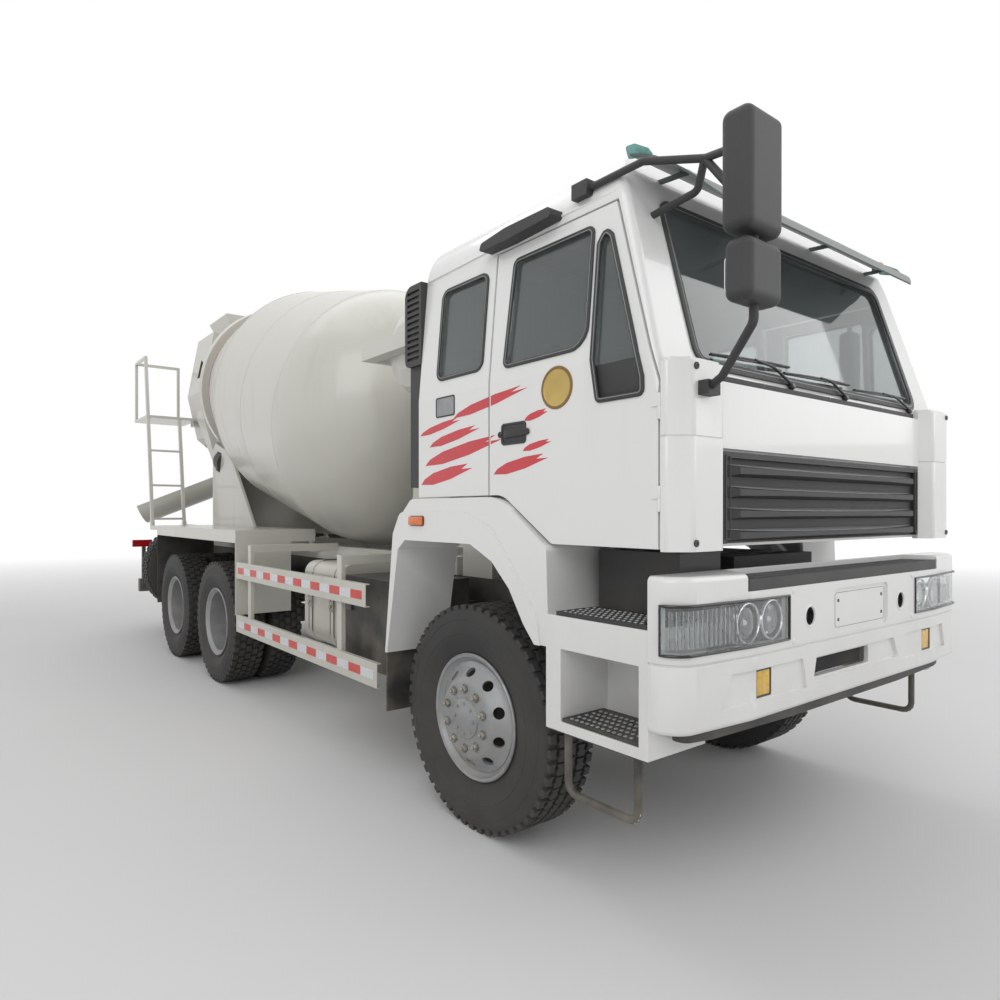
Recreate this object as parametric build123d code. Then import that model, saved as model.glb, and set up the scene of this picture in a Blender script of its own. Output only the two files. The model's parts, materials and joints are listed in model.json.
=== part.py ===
"""Concrete mixer truck, 6x4, with a cab-over cab, as separate named pieces.

Units are millimetres.  +X points forward, +Y to the truck's left, +Z up.
Every X below is counted from the front axle; save() then moves each piece
forward by AXLE_AHEAD, which puts the origin on the ground under the middle.
"""
from build123d import *
import math
import os

# ------------------------------------------------------------------ driving sizes
AXLE_AHEAD = 2937.0        # front axle, ahead of the origin
WHEELBASE = 3625.0         # front axle to first rear axle
TANDEM = 1350.0            # between the two rear axles
GAP = 8.0                  # clearance round a moving panel
SEAT = 0.3                 # running or seating clearance

TYRE_R = 542.5
TYRE_W = 293.0
LUG_H = 12.0
LUG_COUNT = 20
BEAD_R = 290.0
FRONT_TRACK = 2031.0       # between the front tyres' middle planes
REAR_OUTER_Y = 1238.0      # outer face of the outer rear tyre
TWIN_STEP = 340.0          # between the two tyres of a twin wheel
KINGPIN_IN = 110.5         # kingpin inboard of the tyre's middle plane

RAIL_Y = 430.0             # outer face of a frame rail
RAIL_W = 80.0
RAIL_WALL = 10.0
RAIL_LOW = 850.0
RAIL_TOP = 1110.0
RAIL_FRONT = 1040.0
RAIL_REAR = -6150.0
TOW_R = 25.0
SUB_TOP = 1232.0           # top of the mixer's own frame
SUB_FRONT = -1050.0
SUB_W = 80.0

CAB_Y = 1205.0             # half width of the cab
CAB_WALL = 45.0
CAB_REAR = -360.0
CAB_FRONT = 1125.0
CAB_FLOOR = 1400.0         # underside ahead of the wheel arch
CAB_SILL = 1605.0          # underside above the wheel arch
CAB_COWL = 2020.0          # where the windscreen starts to lean
SCREEN_LEAN = 0.2815       # X lost for each Z above the cowl
TILT_X = 1050.0
TILT_Z = 950.0
DOOR_T = 37.0
DOOR_REAR = 200.0
DOOR_TOP = 2700.0
CAB_ROOF = DOOR_TOP + 300
GLASS_T = 6.0
GLASS_INSET = 12.0

BUMPER_Y = 1245.0
BUMPER_FRONT = 1250.0
BUMPER_LOW = 770.0
BUMPER_TOP = 1310.0
BUMPER_T = 30.0
STEP_BACK = 1100.0         # bumper's side seam

FENDER_Y = 1240.0
FENDER_IN = 840.0
FENDER_T = 14.0
ARCH_TOP = 1382.0

DECK_TOP = 1378.0
DECK_Y = 1245.0
DECK_IN = 520.0
DECK_T = 12.0
DECK_REAR_OVER = 645.0     # deck behind the last axle
GUARD_Y = 1245.0

DRUM_SLOPE = 14.0
DRUM_X = -1700.0           # centre of the drum's front flange
DRUM_Z = 2112.0
DRUM_R = 1105.0
DRUM_HEAD = 900.0          # depth of the dished front head
DRUM_BELLY = 2380.0        # end of the cylinder, along the axis
DRUM_LEN = 4200.0
DRUM_MOUTH_R = 620.0
DRUM_WALL = 40.0
RING_AT = DRUM_LEN - 720   # support ring, along the axis
RING_W = 100.0
RING_R = 915.0
ROLLER_R = 125.0
ROLLER_ANGLE = 33.0        # from straight below the axis

CHUTE_X = -6640.0          # upright swing axis
CHUTE_PIVOT_Z = 2080.0
CHUTE_R = 225.0
CHUTE_LEN = 1290.0
CHUTE_DROP = 22.0
CHUTE_STOW = 64.0          # from straight back towards the right

KINGPIN_Y = FRONT_TRACK / 2 - KINGPIN_IN
REAR_1 = -WHEELBASE
REAR_2 = -WHEELBASE - TANDEM
LUG_STEP = 360.0 / LUG_COUNT
LUG_SHARE = 0.30           # half a tread block, as a share of the step
AXLE_Z = TYRE_R * math.cos(math.radians(LUG_SHARE * LUG_STEP))
SIDES = (("right", -1.0), ("left", 1.0))


# ------------------------------------------------------------------ helpers
def save(name, *pieces):
    """Write one node: its solids, moved to the part's own origin."""
    solids = []
    for piece in pieces:
        solids.extend(piece.solids())
    moved = [Pos(AXLE_AHEAD, 0, 0) * solid for solid in solids]
    export_step(moved[0] if len(moved) == 1 else Compound(children=moved), f"parts/{name}.step")


def block(x0, x1, y0, y1, z0, z1):
    size = Box(abs(x1 - x0), abs(y1 - y0), abs(z1 - z0))
    return Pos((x0 + x1) / 2, (y0 + y1) / 2, (z0 + z1) / 2) * size


def outline_face(points, place, radius):
    """Face through (a, b) or (a, b, own radius) points; place turns a pair into its Vector."""
    face = Face(Wire.make_polygon([place(point[0], point[1]) for point in points], close=True))
    for point in points:
        r = point[2] if len(point) > 2 else radius
        if r:
            corner = place(point[0], point[1])
            nearest = min(face.vertices(), key=lambda v: (Vector(v.X, v.Y, v.Z) - corner).length)
            face = face.fillet_2d(r, [nearest])
    return face


def side_plate(points, y0, y1, radius=0.0):
    """Outline of (x, z) points between two Y planes."""
    face = outline_face(points, lambda x, z: Vector(x, y0, z), radius)
    return Part() + Solid.extrude(face, Vector(0, y1 - y0, 0))


def cross_plate(points, x0, x1, radius=0.0):
    """Outline of (y, z) points between two X planes."""
    face = outline_face(points, lambda y, z: Vector(x0, y, z), radius)
    return Part() + Solid.extrude(face, Vector(x1 - x0, 0, 0))


def flat_plate(points, z0, z1, radius=0.0):
    """Outline of (x, y) points between two Z planes."""
    face = outline_face(points, lambda x, y: Vector(x, y, z0), radius)
    return Part() + Solid.extrude(face, Vector(0, 0, z1 - z0))


def soft_block(x0, x1, y0, y1, z0, z1, radius):
    """Block with all its edges rounded."""
    solid = block(x0, x1, y0, y1, z0, z1)
    return Part() + fillet(solid.edges(), radius)


def rect(a0, a1, b0, b1):
    return [(a0, b0), (a1, b0), (a1, b1), (a0, b1)]


def mirrored(half):
    """Outline of (x, y) or (x, y, radius) points, closed by its own mirror image across the middle."""
    return half + [(point[0], -point[1], *point[2:]) for point in reversed(half)]


def rod(a, b, r):
    a, b = Vector(*a), Vector(*b)
    return Part() + Solid.make_cylinder(r, (b - a).length, Plane(origin=a, z_dir=b - a))


def bar(a, b, w, up=(0, 0, 1)):
    """Square bar between two points."""
    a, b = Vector(*a), Vector(*b)
    plane = Plane(origin=a, x_dir=(b - a).cross(Vector(*up)), z_dir=b - a)
    return extrude(plane * Rectangle(w, w), amount=(b - a).length)


def pipe(points, r, bend):
    """Round tube through points, with the corners bent."""
    path = FilletPolyline(*points, radius=bend)
    return sweep(Plane(origin=path @ 0, z_dir=path % 0) * Circle(r), path=path)


def turned(points, centre, side=1.0):
    """Ring turned about an axis along Y; points are (r, outward) in mm."""
    face = Face(Wire.make_polygon([Vector(r, side * w, 0) for r, w in points], close=True))
    x, y, z = centre
    return Pos(x, y, z) * (Part() + Solid.revolve(face, 360, Axis.Y))


def join(*shapes):
    result = shapes[0]
    for shape in shapes[1:]:
        result = result + shape
    return result


os.makedirs("parts", exist_ok=True)

# ------------------------------------------------------------------ wheels
TREAD_HALF = TYRE_W / 2 - 16
SHOULDER_R = TYRE_R - LUG_H
SIDEWALL_R = BEAD_R + 105


def tyre():
    """Tyre about the Y axis, with tread blocks across its crown."""
    body = turned([(BEAD_R + SEAT, -100), (BEAD_R + 22, -104), (SIDEWALL_R, -TYRE_W / 2),
                   (SHOULDER_R - 30, 4 - TYRE_W / 2), (SHOULDER_R, -TREAD_HALF), (SHOULDER_R, TREAD_HALF),
                   (SHOULDER_R - 30, TYRE_W / 2 - 4), (SIDEWALL_R, TYRE_W / 2), (BEAD_R + 22, 104),
                   (BEAD_R + SEAT, 100)], (0, 0, 0))
    outline = []
    for i in range(LUG_COUNT):
        for turn, r in ((-0.36, SHOULDER_R - 6), (-LUG_SHARE, TYRE_R), (LUG_SHARE, TYRE_R),
                        (0.36, SHOULDER_R - 6)):
            a = math.radians((i + turn) * LUG_STEP - 90)
            outline.append((r * math.cos(a), r * math.sin(a)))
    lugs = side_plate(outline, 6 - TREAD_HALF, TREAD_HALF - 6)
    return body + (lugs - rod((0, -TYRE_W, 0), (0, TYRE_W, 0), SHOULDER_R - 20))


def rim(side, out, hub_r, hub_in, hub_out):
    """Steel rim about the Y axis: barrel, dished disc whose face lies at out, and hub."""
    toward = math.copysign(1.0, out)
    barrel = turned([(262, -125), (BEAD_R + 14, -125), (BEAD_R + 14, -110), (BEAD_R, -108.5), (BEAD_R, 108.5),
                     (BEAD_R + 14, 110), (BEAD_R + 14, 125), (262, 125)], (0, 0, 0), side)
    disc = turned([(0, out), (175, out), (195, out - toward * 8), (263, out - toward * 66),
                   (263, out - toward * 84), (190, out - toward * 22), (0, out - toward * 14)], (0, 0, 0),
                   side)
    hub = turned([(0, -hub_in), (hub_r, -hub_in), (hub_r, hub_out), (0, hub_out)], (0, 0, 0), side)
    return join(barrel, disc, hub)


TYRE = tyre()
DISC_OUT = TWIN_STEP / 2 - 5     # the two discs of a twin wheel meet on the hub flange
FRONT_HUB_IN = 40.0
REAR_HUB_IN = 100.0
REAR_OUTER_MID = REAR_OUTER_Y - TYRE_W / 2
REAR_INNER_MID = REAR_OUTER_MID - TWIN_STEP
for side_name, side in SIDES:
    front = Pos(0, side * FRONT_TRACK / 2, AXLE_Z)
    save(f"front_tyre_{side_name}", front * TYRE)
    save(f"front_rim_{side_name}", front * rim(side, DISC_OUT, 120, FRONT_HUB_IN, DISC_OUT + 12))
    outer_rim = rim(side, -DISC_OUT, 130, DISC_OUT + 5, -60)
    inner_rim = rim(side, DISC_OUT, 130, REAR_HUB_IN, DISC_OUT + 5)
    for axle_name, axle_x in (("first", REAR_1), ("second", REAR_2)):
        outer = Pos(axle_x, side * REAR_OUTER_MID, AXLE_Z)
        inner = Pos(axle_x, side * REAR_INNER_MID, AXLE_Z)
        save(f"{axle_name}_rear_tyres_{side_name}", outer * TYRE, inner * TYRE)
        save(f"{axle_name}_rear_rims_{side_name}", (outer * outer_rim) + (inner * inner_rim))

# ------------------------------------------------------------------ steering and front axle
SPINDLE_Y = FRONT_TRACK / 2 - FRONT_HUB_IN - SEAT
PIN_R = 48.0
EYE_R = 38.0
EYE_HALF = 56.0            # half height of the axle beam's eye
FORK_IN = EYE_HALF + 6     # inside of the knuckle's fork
FORK_OUT = 110.0
WASHER_R = 30.0
BRAKE_R = 205.0
for side_name, side in SIDES:
    ears = [rod((0, side * KINGPIN_Y, AXLE_Z + end * FORK_IN), (0, side * KINGPIN_Y, AXLE_Z + end * FORK_OUT),
                PIN_R)
            + block(-EYE_R, EYE_R, side * KINGPIN_Y, side * (KINGPIN_Y + PIN_R + 10),
                    AXLE_Z + end * FORK_IN, AXLE_Z + end * FORK_OUT) for end in (-1, 1)]
    brake = rod((0, side * (KINGPIN_Y + PIN_R), AXLE_Z), (0, side * SPINDLE_Y, AXLE_Z), BRAKE_R)
    arm = rod((0, side * KINGPIN_Y, AXLE_Z - 90), (-170, side * (KINGPIN_Y - 60), AXLE_Z - 90), 18)
    save(f"knuckle_{side_name}", join(brake, *ears, arm))

BEAM_LOW = AXLE_Z - 60
BEAM_TOP = AXLE_Z + 50
SPRING_TOP = BEAM_TOP + 65
SPRING_EYE_X = 700.0
LEAF_T = 20.0
beam_outline = []
for x, z in ((45, 0), (45, 22), (12, 30), (12, 80), (45, 88), (45, 110)):
    beam_outline.append((x, BEAM_LOW + z))
beam_outline += [(-x, z) for x, z in reversed(beam_outline)]
front_axle = [side_plate(beam_outline, 100 - KINGPIN_Y, KINGPIN_Y - 100)]
for _, side in SIDES:
    y0, y1 = side * (RAIL_Y - RAIL_W + 5), side * (RAIL_Y - 5)
    front_axle.append(block(-EYE_R, EYE_R, side * (KINGPIN_Y - 110), side * KINGPIN_Y,
                            AXLE_Z - EYE_HALF, AXLE_Z + EYE_HALF))
    front_axle.append(rod((0, side * KINGPIN_Y, AXLE_Z - EYE_HALF), (0, side * KINGPIN_Y, AXLE_Z + EYE_HALF),
                          EYE_R))
    front_axle.append(rod((0, side * KINGPIN_Y, AXLE_Z - FORK_IN + SEAT),
                          (0, side * KINGPIN_Y, AXLE_Z + FORK_IN - SEAT),
                          WASHER_R))
    front_axle.append(block(-70, 70, y0, y1, BEAM_TOP, BEAM_TOP + 20))
    for i, half in enumerate((SPRING_EYE_X + 20, SPRING_EYE_X - 110, SPRING_EYE_X - 230)):
        top = SPRING_TOP - LEAF_T * i
        rise = 30 * half / SPRING_EYE_X
        front_axle.append(side_plate([(-half, top + rise), (0, top), (half, top + rise),
                                      (half, top + rise - LEAF_T),
                                      (0, top - LEAF_T), (-half, top + rise - LEAF_T)], y0, y1))
    for x in (-SPRING_EYE_X, SPRING_EYE_X):
        front_axle.append(side_plate([(x - 45, RAIL_LOW), (x + 45, RAIL_LOW), (x + 22, SPRING_TOP + 5),
                                      (x - 22, SPRING_TOP + 5)], y0, y1))
save("front_axle", join(*front_axle))

# ------------------------------------------------------------------ frames
web = [(RAIL_Y, RAIL_LOW), (RAIL_Y, RAIL_TOP), (RAIL_Y - RAIL_W, RAIL_TOP),
       (RAIL_Y - RAIL_W, RAIL_TOP - RAIL_WALL),
       (RAIL_Y - RAIL_WALL, RAIL_TOP - RAIL_WALL), (RAIL_Y - RAIL_WALL, RAIL_LOW + RAIL_WALL),
       (RAIL_Y - RAIL_W, RAIL_LOW + RAIL_WALL), (RAIL_Y - RAIL_W, RAIL_LOW)]
rails = [cross_plate([(side * y, z) for y, z in web], RAIL_REAR, RAIL_FRONT) for _, side in SIDES]
MEMBER_IN = RAIL_Y - RAIL_WALL - SEAT
MEMBER_LOW = RAIL_LOW + 90
MEMBER_TOP = RAIL_TOP - 40
members = []
for x in (960, -900, -1900, -2900, RAIL_REAR + 50):
    members.append(block(x - 50, x + 50, -MEMBER_IN, MEMBER_IN, MEMBER_LOW, MEMBER_TOP)
                   - block(x - 40, x + 50, 12 - MEMBER_IN, MEMBER_IN - 12, MEMBER_LOW + 10, MEMBER_TOP - 10))
TOW_X = RAIL_REAR - 55.0
TOW_Z = (MEMBER_LOW + MEMBER_TOP) / 2
tow_eye = block(RAIL_REAR - 100, RAIL_REAR + 5, -60, 60, TOW_Z - 45, TOW_Z + 45)
tow_eye -= rod((TOW_X, 0, TOW_Z - 60), (TOW_X, 0, TOW_Z + 60), TOW_R)

# horns carry the bumper; lugs beside them hold the cab's tilt pins
TILT_R = 25.0
TILT_Y0, TILT_Y1 = RAIL_Y + 20, RAIL_Y + 60
horns = []
for _, side in SIDES:
    horn = block(RAIL_FRONT + SEAT, BUMPER_FRONT - BUMPER_T - SEAT, side * (RAIL_Y - RAIL_W + 5),
                 side * (RAIL_Y + 15),
                 RAIL_LOW + 40, RAIL_TOP - 60)
    cheek = side_plate([(TILT_X - 90, RAIL_LOW + 30), (TILT_X + 20, RAIL_LOW + 30), (TILT_X + 40, TILT_Z),
                        (TILT_X, TILT_Z + 45), (TILT_X - 90, TILT_Z + 60)], side * (RAIL_Y + SEAT),
                        side * (RAIL_Y + 15))
    pin = rod((TILT_X, side * (RAIL_Y + 5), TILT_Z), (TILT_X, side * (TILT_Y1 + 12), TILT_Z), TILT_R)
    horns.append(join(horn, cheek, pin))

# a bridge behind the engine carries the back of the cab; arms reach out to the fenders
REST_X0, REST_X1 = CAB_REAR + 5, CAB_REAR + 55
ARM_X0, ARM_X1 = -230.0, -170.0
FENDER_ARM_Z = ARCH_TOP + FENDER_T + SEAT
bridge = [block(REST_X0, REST_X1, -RAIL_Y, RAIL_Y, CAB_SILL - 70, CAB_SILL - SEAT)]
for _, side in SIDES:
    bridge.append(block(REST_X0, REST_X1, side * (RAIL_Y - RAIL_W), side * RAIL_Y, RAIL_TOP + SEAT,
                        CAB_SILL - 60))
    bridge.append(block(ARM_X0, ARM_X1, side * (RAIL_Y - 60), side * RAIL_Y, RAIL_TOP + SEAT,
                        FENDER_ARM_Z + 40))
    bridge.append(block(ARM_X0, ARM_X1, side * (RAIL_Y - 60), side * (FENDER_IN + 160),
                        FENDER_ARM_Z, FENDER_ARM_Z + 40))

# the tail: two plates run back to the chute's post and down to the underrun beam
BEAM_X0, BEAM_X1 = -6950.0, -6850.0
BEAM_LOW, BEAM_HIGH = 505.0, 665.0
POST_R = 40.0
POST_TOP = 1420.0
LAMP_POST_Y = 1100.0
TAIL_LAMP_Z0, TAIL_LAMP_Z1 = 1080.0, 1170.0
tail = [block(BEAM_X0, BEAM_X1, -1160, 1160, BEAM_LOW, BEAM_HIGH)]
tail_outline = [(RAIL_REAR + 5, MEMBER_LOW + 10), (RAIL_REAR + 5, MEMBER_TOP), (CHUTE_X - 70, MEMBER_TOP),
                (BEAM_X1, BEAM_HIGH), (BEAM_X1, BEAM_LOW + 15), (BEAM_X1 + 60, BEAM_LOW + 15),
                (CHUTE_X + 60, MEMBER_LOW)]
for _, side in SIDES:
    tail.append(side_plate(tail_outline, side * 80, side * 110))
    tail.append(block(BEAM_X0, BEAM_X0 + 60, side * (LAMP_POST_Y - 20), side * (LAMP_POST_Y + 20),
                      BEAM_HIGH, TAIL_LAMP_Z0))
tail.append(block(CHUTE_X - 70, CHUTE_X + 70, -85, 85, MEMBER_TOP - 80, MEMBER_TOP))
tail.append(rod((CHUTE_X, 0, MEMBER_TOP), (CHUTE_X, 0, POST_TOP), POST_R))
# bracket that carries the spare wheel by its disc
SPARE_Y, SPARE_Z = -670.0, 830.0
SPARE_FACE_X = -6235.0
tail.append(cross_plate([(SPARE_Y - 100, SPARE_Z - 60), (SPARE_Y - 100, SPARE_Z + 60),
                         (SPARE_Y + 280, SPARE_Z + 70),
                         (-100, MEMBER_TOP - 10), (-85, MEMBER_TOP - 10), (-85, MEMBER_LOW + 20),
                         (SPARE_Y + 280, SPARE_Z - 60)], SPARE_FACE_X + SEAT, SPARE_FACE_X + 25))
save("frame_rails", *rails)
save("frame_members", *members[:-1], join(members[-1], tow_eye, *tail), *horns, join(*bridge))

sub_sides = [block(RAIL_REAR, SUB_FRONT, side * (RAIL_Y - SUB_W), side * RAIL_Y, RAIL_TOP, SUB_TOP)
             for _, side in SIDES]
sub_cross = [block(x - 40, x + 40, -(RAIL_Y - SUB_W), RAIL_Y - SUB_W, RAIL_TOP, RAIL_TOP + 80)
             for x in [SUB_FRONT - 40 - i * (SUB_FRONT - RAIL_REAR - 100) / 4 for i in range(5)]]
save("sub_frame", join(*sub_sides, *sub_cross))

# ------------------------------------------------------------------ drive line
ENGINE_TOP = CAB_FLOOR - 70
GEARBOX_REAR = -840.0
SHAFT_Z = 860.0
engine = block(-300, 700, -320, 320, 700, ENGINE_TOP)
gearbox = side_plate([(-300, 760), (-300, 1240), (-520, 1180), (GEARBOX_REAR, 1000), (GEARBOX_REAR, 780),
                      (-520, 760)], -190, 190)
engine_feet = [block(150, 290, side * 315, side * (RAIL_Y - RAIL_W - SEAT), 1000, RAIL_TOP - 2)
               for _, side in SIDES]
radiator = block(760, 880, RAIL_W + SEAT - RAIL_Y, RAIL_Y - RAIL_W - SEAT, 780, ENGINE_TOP)
save("engine", join(engine, gearbox, *engine_feet), radiator)

DIFF_R = 215.0
NOSE = 330.0
NOSE_Z = AXLE_Z + 75
AXLE_HALF = REAR_INNER_MID - REAR_HUB_IN - SEAT
rear_axles = [join(rod((x, -AXLE_HALF, AXLE_Z), (x, AXLE_HALF, AXLE_Z), 75),
                   Pos(x, 0, AXLE_Z) * Sphere(DIFF_R),
                   rod((x - DIFF_R - 15, 0, NOSE_Z), (x + NOSE, 0, NOSE_Z), 90)) for x in (REAR_1, REAR_2)]


def prop(front, rear, r):
    """Shaft with a level yoke and a cross joint at each end."""
    (x0, z0), (x1, z1) = front, rear
    return join(rod((x0, 0, z0), (x0 - 60, 0, z0), r), rod((x0 - 60, -r - 10, z0), (x0 - 60, r + 10, z0),
            r * 0.6),
                rod((x0 - 60, 0, z0), (x1 + 60, 0, z1), r - 8),
                rod((x1 + 60, -r - 10, z1), (x1 + 60, r + 10, z1), r * 0.6),
                rod((x1 + 60, 0, z1), (x1, 0, z1), r))


save("rear_axles", *rear_axles, prop((GEARBOX_REAR - SEAT, SHAFT_Z), (REAR_1 + NOSE + SEAT, NOSE_Z), 55),
     prop((REAR_1 - DIFF_R - 15 - SEAT, NOSE_Z), (REAR_2 + NOSE + SEAT, NOSE_Z), 50))

BOGIE_X = (REAR_1 + REAR_2) / 2
LEAF_Z = AXLE_Z + 75 + SEAT
bogie = []
for _, side in SIDES:
    y0, y1 = side * (RAIL_Y - RAIL_W + 2), side * (RAIL_Y - 2)
    for i, short in enumerate((-60, 60, 190, 320)):
        half = TANDEM / 2 - short
        low = LEAF_Z + 22 * i
        bogie.append(block(BOGIE_X - half, BOGIE_X + half, y0, y1, low, low + 22))
    bogie.append(side_plate([(BOGIE_X - 150, LEAF_Z + 88), (BOGIE_X + 150, LEAF_Z + 88),
                             (BOGIE_X + 230, RAIL_LOW),
                             (BOGIE_X - 230, RAIL_LOW)], y0, y1))
bogie.append(rod((BOGIE_X, 3 - RAIL_Y, LEAF_Z + 160), (BOGIE_X, RAIL_Y - 3, LEAF_Z + 160), 50))
save("rear_suspension", join(*bogie))

# ------------------------------------------------------------------ cab shell, doors and glass
WAIST_Z = 2100.0           # the sides lean inward above this height
SHOULDER_IN = 55.0         # how far they have come in at the top of the door
ROOF_EDGE_Z = DOOR_TOP + 140   # top of the windscreen frame
GLASS_TOP = DOOR_TOP - 60      # top of the side windows
SILL_R = 150.0             # bend of the sill over the wheel arch
PILLAR_R = 38.0            # rounding of the front pillars
ARCH_X0 = 300.0            # the sill drops from here
ARCH_X1 = 600.0            # to here
HINGE_X = CAB_FRONT - 6
DOOR_FRONT = CAB_FRONT - 12
PILLAR = 45.0              # front pillar ahead of the door, along X
WINDOW_R = 45.0


def screen_x(z):
    """X of the cab's front face at a height above the cowl."""
    return CAB_FRONT - SCREEN_LEAN * (z - CAB_COWL)


def cab_across(inset):
    """Cab seen from the front, drawn in by inset, as a long bar."""
    y, top, low = CAB_Y - inset, CAB_ROOF - inset, CAB_FLOOR - 300
    edge_y = y - SHOULDER_IN
    edges = [Line((-y, low), (-y, WAIST_Z)), Line((-y, WAIST_Z), (-edge_y, DOOR_TOP)),
             ThreePointArc((-edge_y, DOOR_TOP), (65 - edge_y, top - 130), (250 - edge_y, top - 45)),
             ThreePointArc((250 - edge_y, top - 45), (0, top), (edge_y - 250, top - 45)),
             ThreePointArc((edge_y - 250, top - 45), (edge_y - 65, top - 130), (edge_y, DOOR_TOP)),
             Line((edge_y, DOOR_TOP), (y, WAIST_Z)), Line((y, WAIST_Z), (y, low)), Line((y, low), (-y, low))]
    plane = Plane(origin=(0, 0, 0), x_dir=(0, 1, 0), z_dir=(1, 0, 0))
    return extrude(plane * make_face(Curve(children=edges)), amount=3000, both=True)


def cab_side(inset):
    """Cab seen from the side, drawn in by inset."""
    top = CAB_ROOF - inset
    return [(CAB_REAR + inset, CAB_SILL + inset), (ARCH_X0, CAB_SILL + inset, SILL_R),
            (ARCH_X1, CAB_FLOOR + inset, 40),
            (CAB_FRONT - inset, CAB_FLOOR + inset), (CAB_FRONT - inset, CAB_COWL),
            (screen_x(ROOF_EDGE_Z) - inset, ROOF_EDGE_Z), (screen_x(ROOF_EDGE_Z) - 130 - inset, top),
            (CAB_REAR + 60 + inset, top, 60), (CAB_REAR + inset, top - 80, 40)]


def cab_body(inset):
    return cab_across(inset) & side_plate(cab_side(inset), -CAB_Y, CAB_Y)


def door_outline(gap):
    """Door seen from the side, drawn in by gap from its opening."""
    return [(DOOR_REAR + gap, CAB_SILL - 20), (ARCH_X0, CAB_SILL - 20), (ARCH_X1, CAB_FLOOR - 20),
            (DOOR_FRONT + GAP - gap, CAB_FLOOR - 20), (DOOR_FRONT + GAP - gap, CAB_COWL - 40),
            (screen_x(DOOR_TOP) - PILLAR + GAP - gap, DOOR_TOP + GAP - gap),
            (DOOR_REAR + gap, DOOR_TOP + GAP - gap)]


DOOR_WINDOW = [(300, 2165), (785, 2165, 85), (785, GLASS_TOP), (330, GLASS_TOP)]
QUARTER = [(840, 1945), (1052, 1945), (1050, 2010), (1018, 2130), (880, GLASS_TOP - 65),
           (845, GLASS_TOP - 30),
           (812, GLASS_TOP - 80), (812, 2110)]
SIDE_WINDOW = rect(-205, 150, 2185, GLASS_TOP)
SCREEN = [(-975, 2068), (975, 2068), (950, ROOF_EDGE_Z - 98), (-950, ROOF_EDGE_Z - 98)]
REAR_DOOR_GAP = GAP + 4

outer = cab_body(0)
outer = fillet([edge for edge in outer.edges() if edge.center().X > screen_x(CAB_ROOF) - 60
                and abs(edge.center().Y) > CAB_Y - 80 and edge.center().Z > CAB_COWL], PILLAR_R)
cabin = cab_body(CAB_WALL)
shell = outer - cabin
door_skin = outer - cab_across(DOOR_T)
glass_skin = cab_body(GLASS_INSET) - cab_body(GLASS_INSET + GLASS_T)
side_glass_skin = cab_across(GLASS_INSET) - cab_across(GLASS_INSET + GLASS_T)

door_hole = [side_plate(door_outline(0), side * (CAB_Y + 50),
                        side * (CAB_Y - 300)) & (outer - cab_across(CAB_WALL))
             for _, side in SIDES]
shell = shell - door_hole[0] - door_hole[1]
for _, side in SIDES:
    shell -= side_plate(SIDE_WINDOW, side * (CAB_Y + 50), side * (CAB_Y - 300), WINDOW_R)
shell -= cross_plate(SCREEN, 600, CAB_FRONT + 100, 70)

# door hinges: the cab's barrel below, the door's barrel above it on the same axis
HINGE_Y = CAB_Y + 2.5
BARREL_R = 5.5
BARREL_H = 45.0
HINGES = (1530.0, 1850.0)
for _, side in SIDES:
    for z in HINGES:
        shell -= rod((HINGE_X, side * HINGE_Y, z + BARREL_H), (HINGE_X, side * HINGE_Y, z + 2 * BARREL_H + 1),
                     BARREL_R + 0.5)
        shell += rod((HINGE_X, side * HINGE_Y, z), (HINGE_X, side * HINGE_Y, z + BARREL_H), BARREL_R)

# tilt arms run back and up from the tilt pins to the cab floor
for _, side in SIDES:
    y0, y1 = side * TILT_Y0, side * TILT_Y1
    arm = side_plate([(TILT_X + 20, TILT_Z - 35), (TILT_X + 38, TILT_Z + 20), (TILT_X - 10, TILT_Z + 45),
                      (ARCH_X1 + 40, CAB_FLOOR - 40), (ARCH_X1 + 220, CAB_FLOOR + 5),
                      (ARCH_X1 + 10, CAB_FLOOR + 5),
                      (ARCH_X1 + 10, CAB_FLOOR - 60), (TILT_X - 40, TILT_Z - 20)], y0, y1)
    arm -= rod((TILT_X, y0 - side * 5, TILT_Z), (TILT_X, y1 + side * 5, TILT_Z), TILT_R + 0.05)
    shell += arm
save("cab_shell", shell)

glasses = [glass_skin & cross_plate(SCREEN, 600, CAB_FRONT + 100, 70)]
for _, side in SIDES:
    glasses.append(side_glass_skin & side_plate(SIDE_WINDOW, side * (CAB_Y + 50), side * (CAB_Y - 300),
                                                WINDOW_R))
save("cab_glass", *glasses)

for side_name, side in SIDES:
    leaf = side_plate(door_outline(GAP), side * (CAB_Y + 50), side * (CAB_Y - 300))
    leaf -= block(DOOR_REAR, DOOR_REAR + REAR_DOOR_GAP, side * (CAB_Y - 300), side * (CAB_Y + 50), CAB_FLOOR,
                  CAB_ROOF)
    panes = [side_plate(outline, side * (CAB_Y + 50), side * (CAB_Y - 300), 30)
             for outline in (DOOR_WINDOW, QUARTER)]
    door = (door_skin & leaf) - panes[0] - panes[1]
    for z in HINGES:
        z0, z1 = z + BARREL_H + SEAT, z + 2 * BARREL_H
        door += rod((HINGE_X, side * HINGE_Y, z0), (HINGE_X, side * HINGE_Y, z1), BARREL_R)
        door += block(HINGE_X - 30, HINGE_X, side * (CAB_Y - 1), side * (HINGE_Y + 3.5), z0, z1)
    save(f"door_{side_name}", door)
    save(f"door_glass_{side_name}", side_glass_skin & panes[0], side_glass_skin & panes[1])

# ------------------------------------------------------------------ cab front
FAIRING_X = CAB_FRONT + 80
PANEL_Y = 905.0            # where the lid between the fairings ends
PANEL_LOW = 1765.0
JOINT_Z = 1790.0           # seam between the two halves of a fairing


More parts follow.
